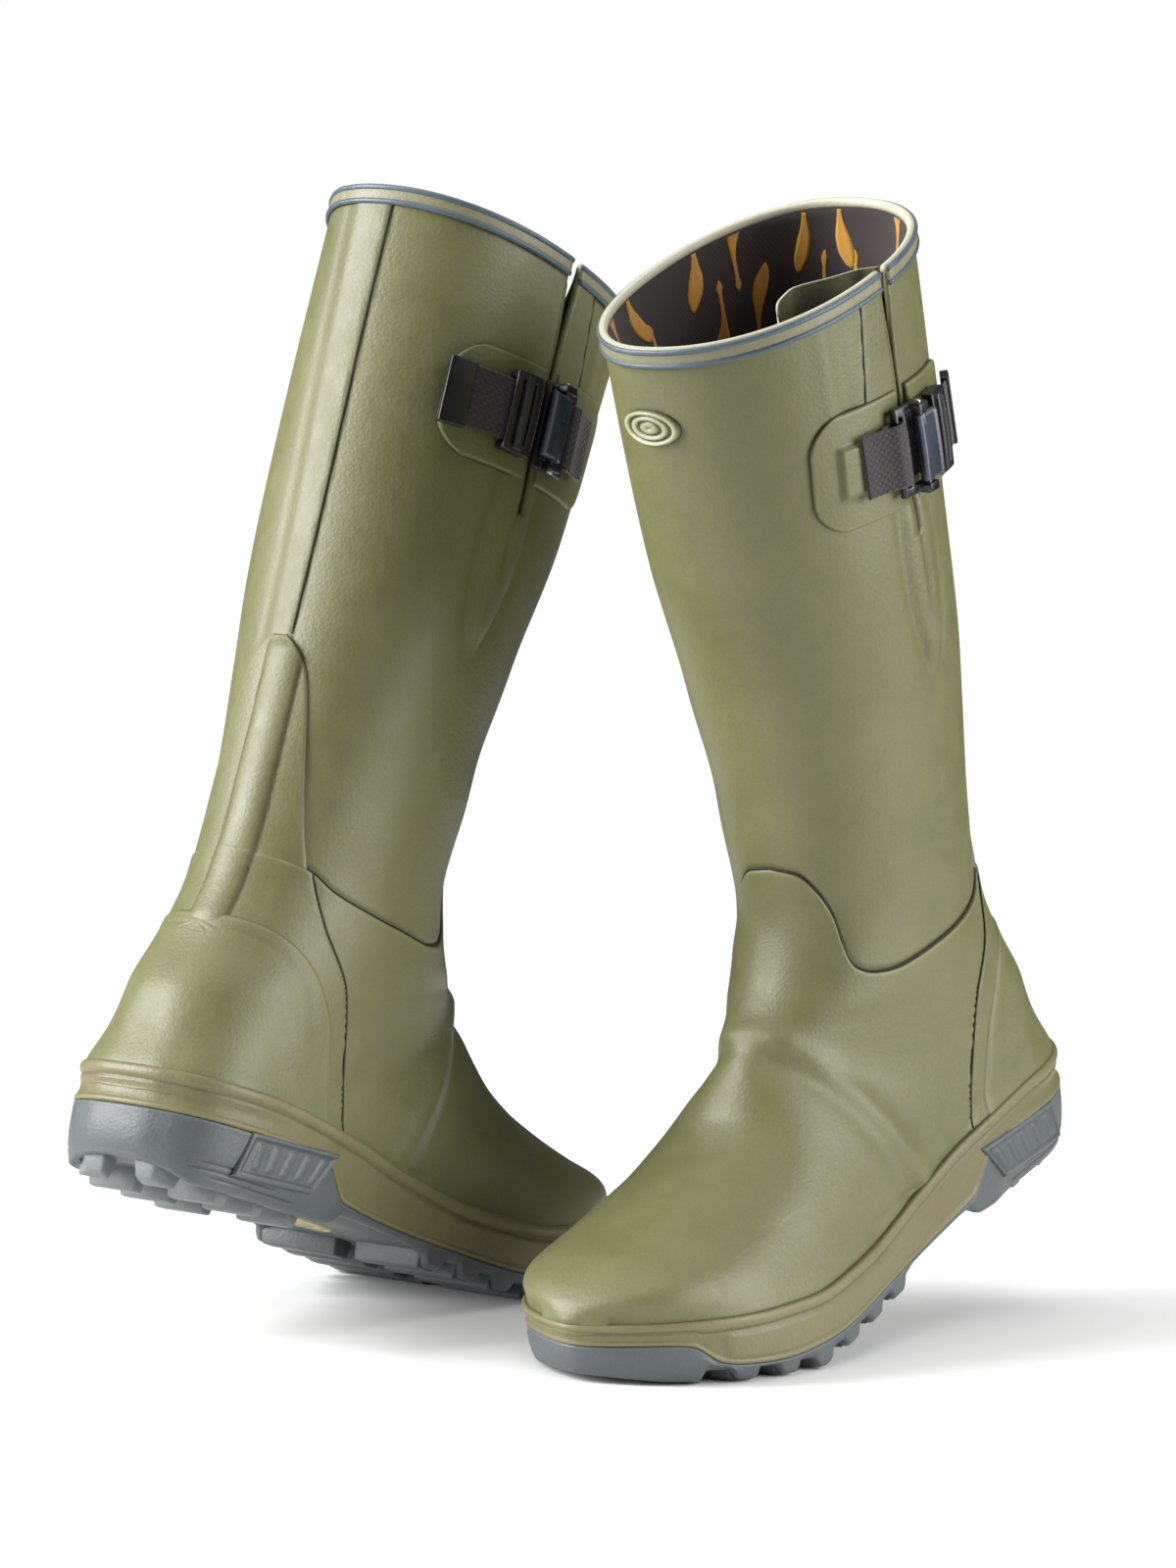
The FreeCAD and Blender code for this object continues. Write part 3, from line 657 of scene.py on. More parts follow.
def make_print():
    """Ochre seed heads on curved stems, scattered over the upper lining."""
    steps = 26
    s = np.linspace(0, 1, steps)
    half = curve([(0, 0.2), (0.06, 2.0), (0.2, 3.7), (0.34, 3.3), (0.5, 1.7), (0.66, 0.9),
                  (0.84, 0.8), (0.92, 1.5), (1.0, 0.3)], s)
    across = np.linspace(-1, 1, 5)[:, None] * half
    points, faces = [], []
    for row in range(6):
        for k in range(14):
            angle = 2 * PI * (k + 0.5 * (row % 2)) / 14 + 0.09 * row
            flip = 1 if (row + k) % 2 else -1
            rising = (k + row) % 3 != 0
            lean = 0.25 * math.sin(3.1 * k + row)
            spine_x = flip * (3.2 * np.sin(s * 3.6) + 4.0 * s ** 3) + lean * 30 * (s - 0.4)
            spine_z = 34 * s * (1 if rising else -1)
            down = (24 if rising else -10) + 27 * row - spine_z + 0 * across
            t = np.maximum(down, 2.5) / 50.0
            u = angle + (spine_x + across) / 56.0
            if t.max() > 3.4 or (np.abs(u % (2 * PI) - 80 * DEG) < 22 * DEG).any():
                continue
            start = 2 * 5 * steps * len(faces)
            points += [fan(t, u, lining_depth(t) - depth).reshape(-1, 3) for depth in (0.12, -0.05)]
            faces.append(closed(quads(5, steps), 5 * steps) + start)
    points = np.concatenate(points)
    piece("lining_print", points, np.concatenate(faces), "ochre_ink", uv=np.zeros((len(points), 2)))


def make_binding():
    """Rolled rim tape with a blue-grey cord along its top and its lower edge."""
    count = 260
    front, back = slit_angles(0.05)
    u = np.linspace(back, 2 * PI + front, count)[:, None]
    lap = 0.35 * ease((u - 3.40) / 0.01) * ease((3.75 - u) / 0.3)

    def carried(name, profile, slot, tone=0.0):
        out, up = np.array(profile).T[:, None]
        t = -up / pace(np.full_like(u, 0.03), u)
        tube(name, fan(t, u, out + lap * (out > 0)), slot, tone)

    tape = [(0.0, -6.8), (0.9, -6.9), (1.2, -6.0), (1.25, -4.0), (1.2, -1.6), (1.1, 0.0),
            (0.7, 0.8), (0.1, 1.15), (-0.6, 1.25), (-1.3, 1.1), (-1.8, 0.7), (-2.1, 0.2),
            (-2.25, -0.5), (-2.3, -1.2), (-2.2, -1.9), (-1.9, -2.1), (-1.4, -2.6), (-0.6, -4.5)]
    tone = [0, 0, 0.05, 0.1, 0.1, 0.1, 0.4, 0.7, 0.9, 1, 1, 0.9, 0.8, 0.7, 0.3, 0, 0, 0]
    carried("rim_binding", tape, "rim_tape", tone)
    for name, middle, radius in (("upper_cord", -0.5, 1.15), ("lower_cord", -6.2, 1.1)):
        ring = [(1.0 + 0.8 * radius * math.cos(a), middle + radius * math.sin(a))
                for a in circle(12)]
        carried("rim_" + name, ring, "rim_cord")


def make_gusset():
    """Bellows leaf folded inwards and forwards behind the slit, with a pale bound edge; the rest of
    the leaf is painted dark as shade in the fold.
    """
    levels = np.concatenate([np.linspace(0, 1, 34), [1.012, 1.016]])
    s = np.linspace(0, 1, 42)
    top = curve([(0, 403.5), (0.25, 402), (0.44, 398.5), (0.53, 395), (0.62, 380), (0.8, 370),
                 (1, 378)], s)
    rows = []
    for level in levels:
        z = SLIT_BOTTOM + 2 + level * (top - SLIT_BOTTOM - 2)
        wide = 0.18 + 0.82 * ease(level * 1.15) ** 0.8
        t, u = locate(np.array([SLIT_X - 4, SLIT_X + 4]), z[[0, -1]], [0, 2], 40, 140)
        back, front = fan(t, u, -CAVITY + 2.0 + 2.0 * level)[:, :2]
        tip = np.array([SLIT_X + 31 * wide, (back[1] + front[1]) / 2 - 25 * wide])
        knots = [back, back + (1.5, -7.0 * wide), back + (11 * wide, -14.5 * wide),
                 tip + (-11 * wide, -0.8 * wide), tip + (-2, -0.8), tip, tip + (-2, 1.0),
                 tip + (-13 * wide, 8.5 * wide), front + (5 * wide, -2.5 * wide), front]
        rows.append(np.column_stack([through(knots, s), z]))
    grid = np.array(rows)
    along = np.gradient(grid, axis=1)
    normal = unit(np.stack([along[..., 1], -along[..., 0], 0 * along[..., 0]], -1))
    thick = np.full(grid.shape, 0.42)
    thick[-6:] = 0.6
    # painted shade: the leaf below its pale bound edge is darkened as the fold's shadowed interior
    tone = np.full(grid.shape[:2], -0.97)
    tone[-5:] = 1.0
    leaves = slab("gusset", grid + normal * thick, grid - normal * thick, "gusset_cloth", tone,
                  uv=np.stack(np.meshgrid(s * 0.08, levels * 0.11), -1))


# ---- the foot -------------------------------------------------------------------------------
QUARTER_EDGE = ((34, 89), (40, 88), (66, 80), (95, 70), (116, 54), (138, 45), (150, 42))


def foot_relief(points, u):
    """Height of the foot's quarter line, flex creases and padding, and their tone: painted shade
    along the padding's edges.
    """
    x, y, z = np.moveaxis(points, -1, 0)
    rise, tone = back_pad(points, u)
    ahead = x - curve(QUARTER_EDGE, z)
    side = ease((np.abs(y) - 18) / 8) * ease((z - 34) / 4)
    rise += 0.6 * ease(-ahead / 1.0 + 0.5) * side * (z < 145)
    rise -= 0.45 * bell(ahead, 0.9) * side
    for sign, strength in ((1, 1.0), (-1, 0.75)):
        flex = [(a, b * sign, c) for a, b, c in ((168, 12, 112), (160, 22, 100), (151, 31, 86),
                                                 (141, 38, 66), (133, 41, 48), (125, 40, 34))]
        d = to_line(points, flex)
        below = to_line(points, [(a + 7, b, c - 5) for a, b, c in flex])
        rise += strength * (1.7 * bell(d, 6.5) - 1.0 * bell(below, 5.5))
    small = to_line(points, [(170, -16, 112), (171, -6, 116), (170, 6, 117), (167, 16, 113)])
    rise += 0.8 * bell(small, 4.0) - 0.6 * bell(to_line(points, [(176, -14, 108), (178, 0, 111),
                                                                  (175, 14, 108)]), 3.5)
    rise += 0.4 * np.sin(x * 0.09 + y * 0.05) * bell(x - 205, 40) * (z > 60)
    return rise, tone


def band_fill(points):
    """How the upper swells outwards just above the band, to meet the band's inner edge."""
    x, z = points[..., 0], points[..., 2]
    flat = points[..., :2].reshape(-1, 2)
    closest = nearest(flat, RING)
    inset = np.linalg.norm(flat - RING[closest], axis=-1).reshape(x.shape)
    above = z - curve(BAND_TOP, x)
    toe = ease((x - 250) / 35)
    gap = inset - 2.4 - (0.2 - 0.1 * toe) * np.maximum(above, 0)
    near = np.where(above > 0, np.exp(-(above / (15.0 + 7 * toe)) ** 2), 1.0) * (above > -9)
    amount = np.clip(gap, 0, 8.5) * near * ease((z - 20) / 10)
    out = RING_OUT[closest].reshape(points[..., :2].shape)
    push = out * amount[..., None]
    for _ in range(24):
        across = (np.roll(push, 1, 1) + 2 * push + np.roll(push, -1, 1)) / 4
        across[1:-1] = (across[:-2] + 2 * across[1:-1] + across[2:]) / 4
        push = push + (across - push) * toe[..., None]
    return np.concatenate([push, np.zeros(points[..., :1].shape)], -1)


def round_toe(points):
    """Evens out the toe of a grid that closes on a pole at its last row, and swells it."""
    above = points[..., 2] - curve(BAND_TOP, points[..., 0])
    weight = (ease((points[..., 0] - 262) / 25) * ease((above - 1.2) / 6.5))[..., None]
    for _ in range(70):
        beyond = np.roll(points[-1:], points.shape[1] // 2, 1)
        rows = np.concatenate([points[1:], beyond]) + np.concatenate([points[:1], points[:-1]])
        mean = (rows + np.roll(points, 1, 1) + np.roll(points, -1, 1)) / 4
        points = points + (mean - points) * weight
    return points + unit(points - (points[-1].mean(0) - (22, 0, 4))) * weight * 2.2


def make_vamp():
    cols = 280
    u = circle(cols)
    top = height_at(seam_height(u), u)
    step = 1.0 / pace(top, u)
    edge = np.array([0, 0.15, 0.45, 0.9, 1.6, 2.6, 4.0])
    lift = np.array([-0.9, 0.55, 1.05, 1.28, 1.3, 1.3, 1.3])
    # painted shade along the overlay's top edge and a painted highlight on its rolled shoulder
    shade = np.array([-0.9, -0.5, 0.12, 0.22, 0.1, 0.0, 0.0])
    first = top + edge[-1] * step
    heel = np.linspace(0, 1, 120)[1:, None]
    toe = np.linspace(10.4, 19.0, 128)[1:, None]
    t = np.concatenate([top + edge[:, None] * step, first + heel * (10.4 - first), toe + 0 * first])
    lift = np.concatenate([lift, np.full(len(t) - len(lift), 1.3)])[:, None]
    shade = np.concatenate([shade, np.zeros(len(t) - len(shade))])[:, None]
    u = np.broadcast_to(u, t.shape)
    base = fan(t, u)
    rise, tone = foot_relief(base, u)
    outer = fan(t, u, lift + rise) + band_fill(base)
    inner = fan(np.minimum(t, 18.2), u, -1.6)
    shrink = np.array([0.94, 0.86, 0.76, 0.64, 0.5, 0.35, 0.18, 0.03])[:, None, None]
    centre = outer[-1].mean(0)
    nose = centre + (outer[-1] - centre) * shrink + np.sqrt(1 - shrink ** 2) * np.array([5.0, 0, 0])
    outer = round_toe(np.concatenate([outer, nose]))
    inner = np.concatenate([inner, inner[-1].mean(0) + (inner[-1] - inner[-1].mean(0)) * shrink])
    tone, shade = (np.concatenate([a, np.repeat(a[-1:], len(shrink), 0)]) for a in (tone, shade))
    floor = curve(BAND_TOP, outer[..., 0]) - 7.0
    high = outer[..., 2] > floor
    keep = high[:-1] | high[1:]
    keep |= np.roll(keep, -1, 1)
    slab("vamp_overlay", outer, inner, "shell_rubber", tone + shade, True, keep,
         replaces=("vamp_overlay", "foot_shell"))


def back_patch(name, heights, half_width, lift, inner_lift):
    """A patch across the back of the boot, given its half width at each height."""
    side = [0.9, 0.94, 0.972, 0.992, 1]
    across = np.concatenate([-np.array(side[::-1]), np.linspace(-0.84, 0.84, 44), side])
    width = curve(half_width, heights)[:, None]
    y = across[None] * width
    t, u = locate(y, heights[:, None] + 0 * y, [1, 2], 110, 250)
    pad, tone = back_pad(fan(t, u), u)
    border = np.minimum(width - np.abs(y), (heights.max() - heights)[:, None])
    g = np.where(border < 0.02, -0.4, lift * roll(border, 1.2)) + pad
    # painted shade along the patch's edge and a painted highlight on its rounded shoulder
    shade = tone - 0.7 * bell(border, 0.35) + 0.2 * bell(border - 1.0, 0.5)
    slab(name, fan(t, u, g), fan(t, u, np.minimum(g - 0.2, inner_lift)), "shell_rubber", shade)


def seam_line(name, t, u, lift, width=0.42, push=0.0):
    """A fine dark bead along a seam, at places (t, u) on the surface: painted shadow in the gap at
    the overlap's edge.
    """
    middle = fan(t, u, lift) + push
    along = np.gradient(middle, axis=0)
    up = fan(t, u, lift + 1.0) - middle
    across, up = unit(np.cross(along, up)), unit(up)
    from_end = np.minimum(np.arange(len(t)), np.arange(len(t))[::-1])[:, None]
    taper = np.sqrt(np.clip(from_end / 6.0, 0.04, 1))
    tube(name, np.stack([middle + taper * (width * np.cos(a) * across + 0.32 * np.sin(a) * up)
                         for a in circle(8)], 1), "seam")


def make_seams():
    # dark beads along the seams: painted shadow in the gaps at the overlap edges
    z = np.linspace(404, 352, 60)
    t, u = locate(107 + (394 - z) * 0.11, z, [0, 2], 20, 100)
    seam_line("slit_overlap_seam", t, u, leg_relief(fan(t, u), u)[0], 0.4)
    z = np.linspace(408, 228, 150)
    t, u = locate(5.0 + (z - 227) * 0.035, z, [1, 2], 130, 230)
    seam_line("back_seam", t, u, leg_relief(fan(t, u), u)[0] + 0.16, 0.55)
    z = np.linspace(136.5, 40, 110)
    for name, low, high in (("outer", 40, 170), ("inner", 190, 320)):
        t, u = locate(curve(QUARTER_EDGE, z), z, [0, 2], low, high)
        base = fan(t, u)
        seam_line("quarter_seam_" + name, t, u, 1.72 + foot_relief(base, u)[0], 0.55,
                  band_fill(base))
    u = circle(360)
    t = height_at(seam_height(u) + 0.35, u)
    base = fan(t, u)
    middle = fan(t, u, leg_relief(base, u)[0] + back_pad(base, u)[0] + 0.1)
    out, up = fan(t, u, 1.0) - base, np.array([0, 0, 1.0])
    hoop("ankle_seam", np.stack([middle + 0.34 * np.cos(a) * up + 0.5 * np.sin(a) * out
                                 for a in circle(8)], 1), "seam")


def make_backstay():
    heights = np.concatenate([np.linspace(132, 222, 80),
                              227.5 - np.array([4.6, 3.7, 2.9, 2.2, 1.5, 0.9, 0.45, 0.15, 0.0])])
    back_patch("backstay", heights,
               [(132, 29), (140, 28), (150, 26), (180, 21.5), (205, 17.5), (214, 15), (220, 11.5),
                (224, 8), (227.5, 3.5)], 1.2, -0.3)


def make_counter():
    """Heel counter cupping the back of the foot, its arched edge on both sides."""
    edge = [(16, 113.5), (26, 112), (36, 109.5), (47, 103), (57, 93), (66, 80), (72, 66), (77, 50),
            (78, 38)]
    s = with_edges(1.0, 0.02, (0.0, 0.002, 0.006, 0.012, 0.02))
    v = np.concatenate([[0, 0.006, 0.018, 0.035, 0.06], np.linspace(0.09, 1, 40)])
    v = np.concatenate([v, 2 - v[-2::-1]]) - 1
    t = np.zeros((len(s), len(v)))
    u = np.zeros_like(t)
    behind = height_at(111.5 + (37 - 111.5) * s, np.full(len(s), PI), 4.0, 9.9)
    for mine, low, high in ((v >= 0, 60, 178), (v <= 0, 182, 300)):
        te, ue = locate(*through(edge, s).T, [0, 2], low, high)
        f = np.abs(v[mine])[None]
        t[:, mine] = behind[:, None] + (te - behind)[:, None] * f ** 2
        u[:, mine] = PI + (ue - PI)[:, None] * f
    base = fan(t, u)
    centre = base[:, len(v) // 2]
    reach = np.linalg.norm(base[:, :1] - centre[:, None], axis=-1) * 1.15
    down = path_length(centre)
    border = np.minimum((1 - np.abs(v)[None]) * reach, down[:, None])
    g = (np.where(border < 0.03, 0.6, 1.35 + 1.25 * roll(border, 1.4))
         - 0.35 * bell(border - 7.0, 0.9))
    # painted shade along the edge and in the groove, and a painted highlight on the rounded
    # shoulder
    shade = (-0.55 * bell(border, 0.4) + 0.22 * bell(border - 1.2, 0.6)
             - 0.12 * bell(border - 7, 0.7))
    push = band_fill(base)
    slab("heel_counter", fan(t, u, g) + push, fan(t, u, 0.4) + push, "shell_rubber", shade)


# ---- the sole -------------------------------------------------------------------------------
def outline(count=520):
    """The sole's outline as (x, y) with outward normals, evenly spaced."""
    xs = np.array([0, 2, 5, 10, 18, 30, 50, 75, 100, 130, 160, 190, 215, 235, 255, 272, 285, 294,
                   300, 304, 306], float)
    mid, half = curve(CENTRES, xs), curve(HALF_WIDTHS, xs)
    ring = np.array([(-1.2, 0), *zip(xs, mid + half), (307.2, float(curve(CENTRES, 306))),
                     *zip(xs[::-1], (mid - half)[::-1])], float)
    # closed Catmull-Rom through the ring
    fine = []
    n = len(ring)
    for i in range(n):
        a, b, c, d = ring[i - 1], ring[i], ring[(i + 1) % n], ring[(i + 2) % n]
        ab, bc, cd = (max(np.linalg.norm(q - p) ** 0.5, 1e-6) for p, q in ((a, b), (b, c), (c, d)))
        mb = (c - b) + bc * ((b - a) / ab - (c - a) / (ab + bc))
        mc = (c - b) + bc * ((d - c) / cd - (d - b) / (bc + cd))
        f = np.linspace(0, 1, 24, endpoint=False)[:, None]
        fine.append((2 * f ** 3 - 3 * f ** 2 + 1) * b + (f ** 3 - 2 * f ** 2 + f) * mb
                    + (3 * f ** 2 - 2 * f ** 3) * c + (f ** 3 - f ** 2) * mc)
    fine = np.concatenate([*fine, ring[:1]])
    run = path_length(fine)
    at = np.linspace(0, run[-1], count, endpoint=False)
    ring = np.stack([np.interp(at, run, fine[:, k]) for k in (0, 1)], -1)
    kernel = np.array([1, 2, 3, 2, 1]) / 9
    for _ in range(2):
        ring = sum(np.roll(ring, k - 2, 0) * w for k, w in enumerate(kernel))
    along = np.roll(ring, -1, 0) - np.roll(ring, 1, 0)
    normal = unit(np.stack([along[:, 1], -along[:, 0]], -1))
    if ((ring - ring.mean(0)) * normal).sum() < 0:
        normal = -normal
    return ring, normal


RING, RING_OUT = outline()


def sole_ring(out, z, inward=0.0):
    """One level of the sole: its outline moved out, or drawn in towards the foot's middle line."""
    xy = RING + RING_OUT * np.reshape(out, (-1, 1))
    if inward:
        x = xy[:, 0] + (np.clip(xy[:, 0], 44, 262) - xy[:, 0]) * inward
        middle = curve(CENTRES, np.clip(x, 0, 306))
        xy = np.stack([x, xy[:, 1] + (middle - xy[:, 1]) * inward], -1)
    return np.stack([xy[:, 0], xy[:, 1], np.broadcast_to(z, len(xy))], -1)


def add_ring(rows, out, z, tone=0.0, inward=0.0):
    """Adds one level of the sole to its rows."""
    rows.append((sole_ring(out, z, inward), np.broadcast_to(tone, len(RING))))


def sole_skin(name, rows, slot):
    rings, tones = (np.array(part) for part in zip(*rows))
    hoop(name, rings, slot, tone=tones)


def make_midsole():
    x = RING[:, 0]
    low, high = curve(GREY_LINE, x), curve(BAND_TOP, x)
    tall = high - low
    bead = np.minimum(5.0, 0.34 * tall)
    # the rows' tones paint shade at the lower joint, in the crease under the bead and in the gap
    # along the top, and highlights on the bulge, the raised panel and the bead's outer face
    rows = []
    row = partial(add_ring, rows)
    # a long raised panel along the waist and forefoot, rounded at its front end
    nose = ease((272 - x) / 3) * ease((x - 118) / 30)
    row(0, low + 0.3, 0, 0.45)
    row(-4.0, low + 0.1)
    row(0.2, low - 0.2, -0.5)
    row(0.9, low + 0.15, 0.0)
    row(1.3, low + 0.9, 0.25)
    row(1.15, low + 1.8, 0.05)
    body_low, body_high = low + 2.2, high - bead - 1.6
    for f in np.linspace(0, 1, 13):
        z = body_low + (body_high - body_low) * f
        panel = nose * roll(np.minimum(f, 1 - f) * (body_high - body_low), 1.4)
        waist = -0.9 * math.sin(PI * f) * ease((60 - x) / 40)
        row(0.75 + 0.75 * panel + waist, z, 0.06 * panel)
    row(0.5, high - bead - 1.0, -0.12)
    row(0.35, high - bead - 0.4, -0.35)
    for angle in np.linspace(-70, 100, 11):
        a = angle * DEG
        row(0.3 + 1.45 * np.cos(a), high + bead / 2 * (np.sin(a) - 1), 0.12 * np.cos(a))
    row(-1.4, high - 0.05, 0.0)
    row(-2.2, high - 0.7, -0.8)
    row(-3.6, high - 1.0, -0.9)
    row(-6.5, high - 2.2)
    row(0, high - 3.0, 0, 0.45)
    sole_skin("midsole", rows, "band_rubber")


HEEL_LUGS = (3.0, 24.0, 46.0, 68.0)
FORE_LUGS = (152.0, 173.0, 194.0, 215.0, 236.0, 257.0, 278.0)


def edge_height(x):
    """The outsole's lower edge seen from the side: heel block, high arch, then scalloped lugs."""
    heel = np.maximum(4.6, 4.6 + (11 - x) * 0.45)
    arch = curve([(80, 4.6), (90, 5.4), (100, 10.5), (122, 10.0), (140, 8.5), (152, 6.0)], x)
    phase = ((x - FORE_LUGS[0]) % 21.0) / 21.0
    wave = 1 - ease(np.abs(phase - 0.33) / 0.16 - 1.0)
    fore = ground(x) + 0.9 + 4.6 * (1 - wave)
    out = np.where(x < 80, heel, np.where(x < 152, arch, fore))
    return np.where(x > 283, ground(x) + 0.9 + 0.1 * np.maximum(0, x - 292), out)


def make_outsole():
    x = RING[:, 0]
    grey, low = curve(GREY_LINE, x), edge_height(x)
    grey = np.maximum(grey, low + 2.2)
    base = ground(x) + np.interp(x, (98, 142, 150), (9.0, 8.0, 7.4))
    rows = []
    row = partial(add_ring, rows)
    # the rows' tones paint shade at the top joint, in the grooves and on the underside, and
    # highlights on the rounded shoulders
    row(0, grey - 0.4, 0, 0.999)
    row(-5.0, grey - 0.3)
    row(0.1, grey - 0.1, -0.4)
    row(0.8, grey - 0.5, 0.35)
    row(1.0, grey - 1.2, 0.12)
    cap = ease((x - 262) / 16)
    for f in np.linspace(0.03, 1, 44):
        z = grey - 1.2 + (low + 2.0 - grey + 1.2) * f
        bulge = 0.9 * math.sin(PI * f) * cap
        tuck = -2.6 * f ** 3 * ease((84 - x) / 20)
        groove = sum(ease((x - start) / 5) * ease((stop - x) / 5) * bell(z - level, 0.42)
                     for start, stop, level in ((10, 44, 14.0), (8, 56, 11.4), (16, 68, 8.8)))
        row(0.9 - 0.5 * f + bulge + tuck - 0.75 * groove, z, -0.75 * groove)
    heel_in = 2.2 * ease((84 - x) / 20)
    row(-0.2 - heel_in, low + 1.0, 0.15)
    row(-1.3 - heel_in, low + 0.2, 0.1)
    row(-3.0 - heel_in, low, 0.0)
    row(-4.6 - heel_in, np.maximum(low, base) * 0.5 + low * 0.5)
    row(-6.0 - heel_in, np.maximum(base, low), -0.2)
    for k in (0.12, 0.3, 0.5, 0.7, 0.85, 0.95, 0.999):
        row(-6.5 - heel_in, base, 0, k)
    sole_skin("outsole", rows, "sole_rubber")


def block(corners_low, corners_high, bevel=1.1, segments=3):
    """A bevelled six-sided block as bmesh, from four lower and four upper corners."""
    bm = bmesh.new()
    v = [bm.verts.new(c) for c in (*corners_low, *corners_high)]
    for f in ((3, 2, 1, 0), (4, 5, 6, 7), (0, 1, 5, 4), (1, 2, 6, 5), (2, 3, 7, 6), (3, 0, 4, 7)):
        bm.faces.new([v[i] for i in f])
    bmesh.ops.bevel(bm, geom=bm.edges[:], offset=bevel, segments=segments, affect="EDGES",
                    profile=0.5, clamp_overlap=True)
    return bm


def gathered(blocks):
    """Points and faces of several bmeshes together, a triangle's last corner given twice."""
    points, faces = [], []
    for bm in blocks:
        bm.verts.ensure_lookup_table()
        start = len(points)
        points += [tuple(v.co) for v in bm.verts]
        for f in bm.faces:
            index = [start + v.index for v in f.verts]
            if len(index) == 4:
                faces.append(index)
            else:
                faces += [[index[0], a, b, b] for a, b in zip(index[1:], index[2:])]
        bm.free()
    return np.array(points), np.array(faces)


def edge_at(x, sign, inset):
    """Where the tread ends at x on the outer (sign 1) or inner side, inset from the outline."""
    x = min(max(x, 0), 306)
    return float(curve(CENTRES, x) + sign * (curve(HALF_WIDTHS, x) - inset))


def make_lugs():
    """Tapered tread lugs: pale ones under the heel, grey chevrons under the forefoot."""
    heel, fore = [], []
    for sign in (1, -1):
        for x0 in (start + 2.5 for start in HEEL_LUGS):
            x1, lift = x0 + 9.0, max(0.0, (16 - x0) * 0.35)
            e0, e1 = (edge_at(x, sign, 5.5 if x0 > 16 else 8.5) for x in (x0, x1))
            if abs(e0) < 14:
                e0 = 14.0 * sign
            low = [(x0 + 1.8, 8.5 * sign, lift * 0.9), (x1 - 1.8, 8.5 * sign, lift * 0.3),
                   (x1 - 1.8, e1 - 2.0 * sign, lift * 0.3), (x0 + 1.8, e0 - 2.0 * sign, lift * 0.9)]
            high = ((x0, 7.0 * sign), (x1, 7.0 * sign), (x1, e1), (x0, e0))
            heel.append(block(low, [(x, y, 10.5) for x, y in high]))
        for x0 in (start + 0.5 for start in FORE_LUGS):
            x1, inner, slant = x0 + 12.0, 5.0 * sign - 2, 5.0
            e0, e1 = (edge_at(x, sign, 2.6) for x in (x0, x1))
            low = ((x0 + 1.5 + slant, inner), (x1 - 1.5 + slant, inner),
                   (x1 - 1.5, e1 - 1.2 * sign), (x0 + 1.5, e0 - 1.2 * sign))
            high = ((x0 + slant, inner), (x1 + slant, inner), (x1, e1), (x0, e0))
            fore.append(block(*([(x, y, float(ground(x)) + lift) for x, y in corners]
                                for corners, lift in ((low, 0.15), (high, 8.2))), 0.9))
    piece("heel_lugs", *gathered(heel), "lug_rubber")
    piece("forefoot_lugs", *gathered(fore), "sole_rubber")


def wall_point(x, z, sign, out):
    """A point on the sole's side wall, on the outer (sign 1) or inner side."""
    half = curve(HALF_WIDTHS, x)
    slope = (curve(HALF_WIDTHS, x + 0.5) - half) / 0.5
    steep = np.sqrt(1 + slope ** 2)
    y = curve(CENTRES, x) + sign * (half + out / steep)
    return np.stack([x - out * slope / steep, y, z], -1)


def make_heel_plates():
    """Slanted raised panel on each side of the heel block, with plain slanted ribs."""
    edges = (0.0, 0.15, 0.5, 0.9, 1.4)
    a, b = np.meshgrid(with_edges(56.0, 0.7, edges) / 56.0, with_edges(19.0, 0.7, edges) / 19.0)
    x = 26 + 5 * b + a * (56 - 9 * (1 - b))
    z = 11.5 + 19.0 * b + 2.5 * a
    border = np.minimum(np.minimum(a, 1 - a) * 52, np.minimum(b, 1 - b) * 19)
    rib = ease((np.cos(2 * PI * (a * 5.5 + 0.3 * b)) - 0.1) / 0.5)
    out = (2.7 * roll(border, 1.5) - 0.7 - 0.7 * ease((border - 2.2) / 0.7)
           + 0.6 * ease((border - 4.0) / 0.8) * rib)
    # painted shade in the step round the panel and a painted highlight on its shoulder
    tone = -0.5 * bell(border - 2.7, 0.6) + 0.25 * bell(border - 1.2, 0.6)
    half = closed(quads(*x.shape), x.size)
    points = np.array([[wall_point(x, z, sign, level) for level in (out, -3.0 + 0 * out)]
                       for sign in (1, -1)]).reshape(2, -1, 3)
    faces = np.concatenate([half[:, ::-1] if volume(side - side.mean(0), half) < 0 else half
                            for side in points])
    faces[len(half):] += 2 * x.size
    piece("heel_plates", points, faces, "sole_rubber",
          tone=np.concatenate([tone.ravel(), np.zeros(x.size)] * 2))


def oval(name, at, slot, semi, profile, under):
    """A lathed oval: its profile is (fraction of the semi-axes, height, tone) from the centre."""
    a = circle(72)
    x, y = semi[0] * np.cos(a), semi[1] * np.sin(a)
    outer, inner = (np.array([at(f * x, f * y, h if top else under) for f, h, _ in profile])
                    for top in (True, False))
    slab(name, outer, inner, slot, np.array([[p[2]] * len(a) for p in profile]), True)


def make_inlay():
    def at(a, b, h):
        return np.stack([118 + a, -1 + b, 9.0 - h + 0 * a], -1)

    # the profile's tones paint shade in the two grooves and a highlight on the outer ridge
    oval("arch_inlay", at, "inlay_rubber", (24, 12.5),
         [(0.02, 1.6, 0), (0.3, 1.6, 0), (0.5, 1.5, 0), (0.54, 1.0, -0.5), (0.58, 1.0, -0.5),
          (0.62, 1.6, 0), (0.76, 1.6, 0), (0.8, 1.0, -0.6), (0.84, 1.0, -0.6), (0.88, 1.8, 0.2),
          (0.96, 1.6, 0.2), (1.0, 0.6, 0)], -2.0)


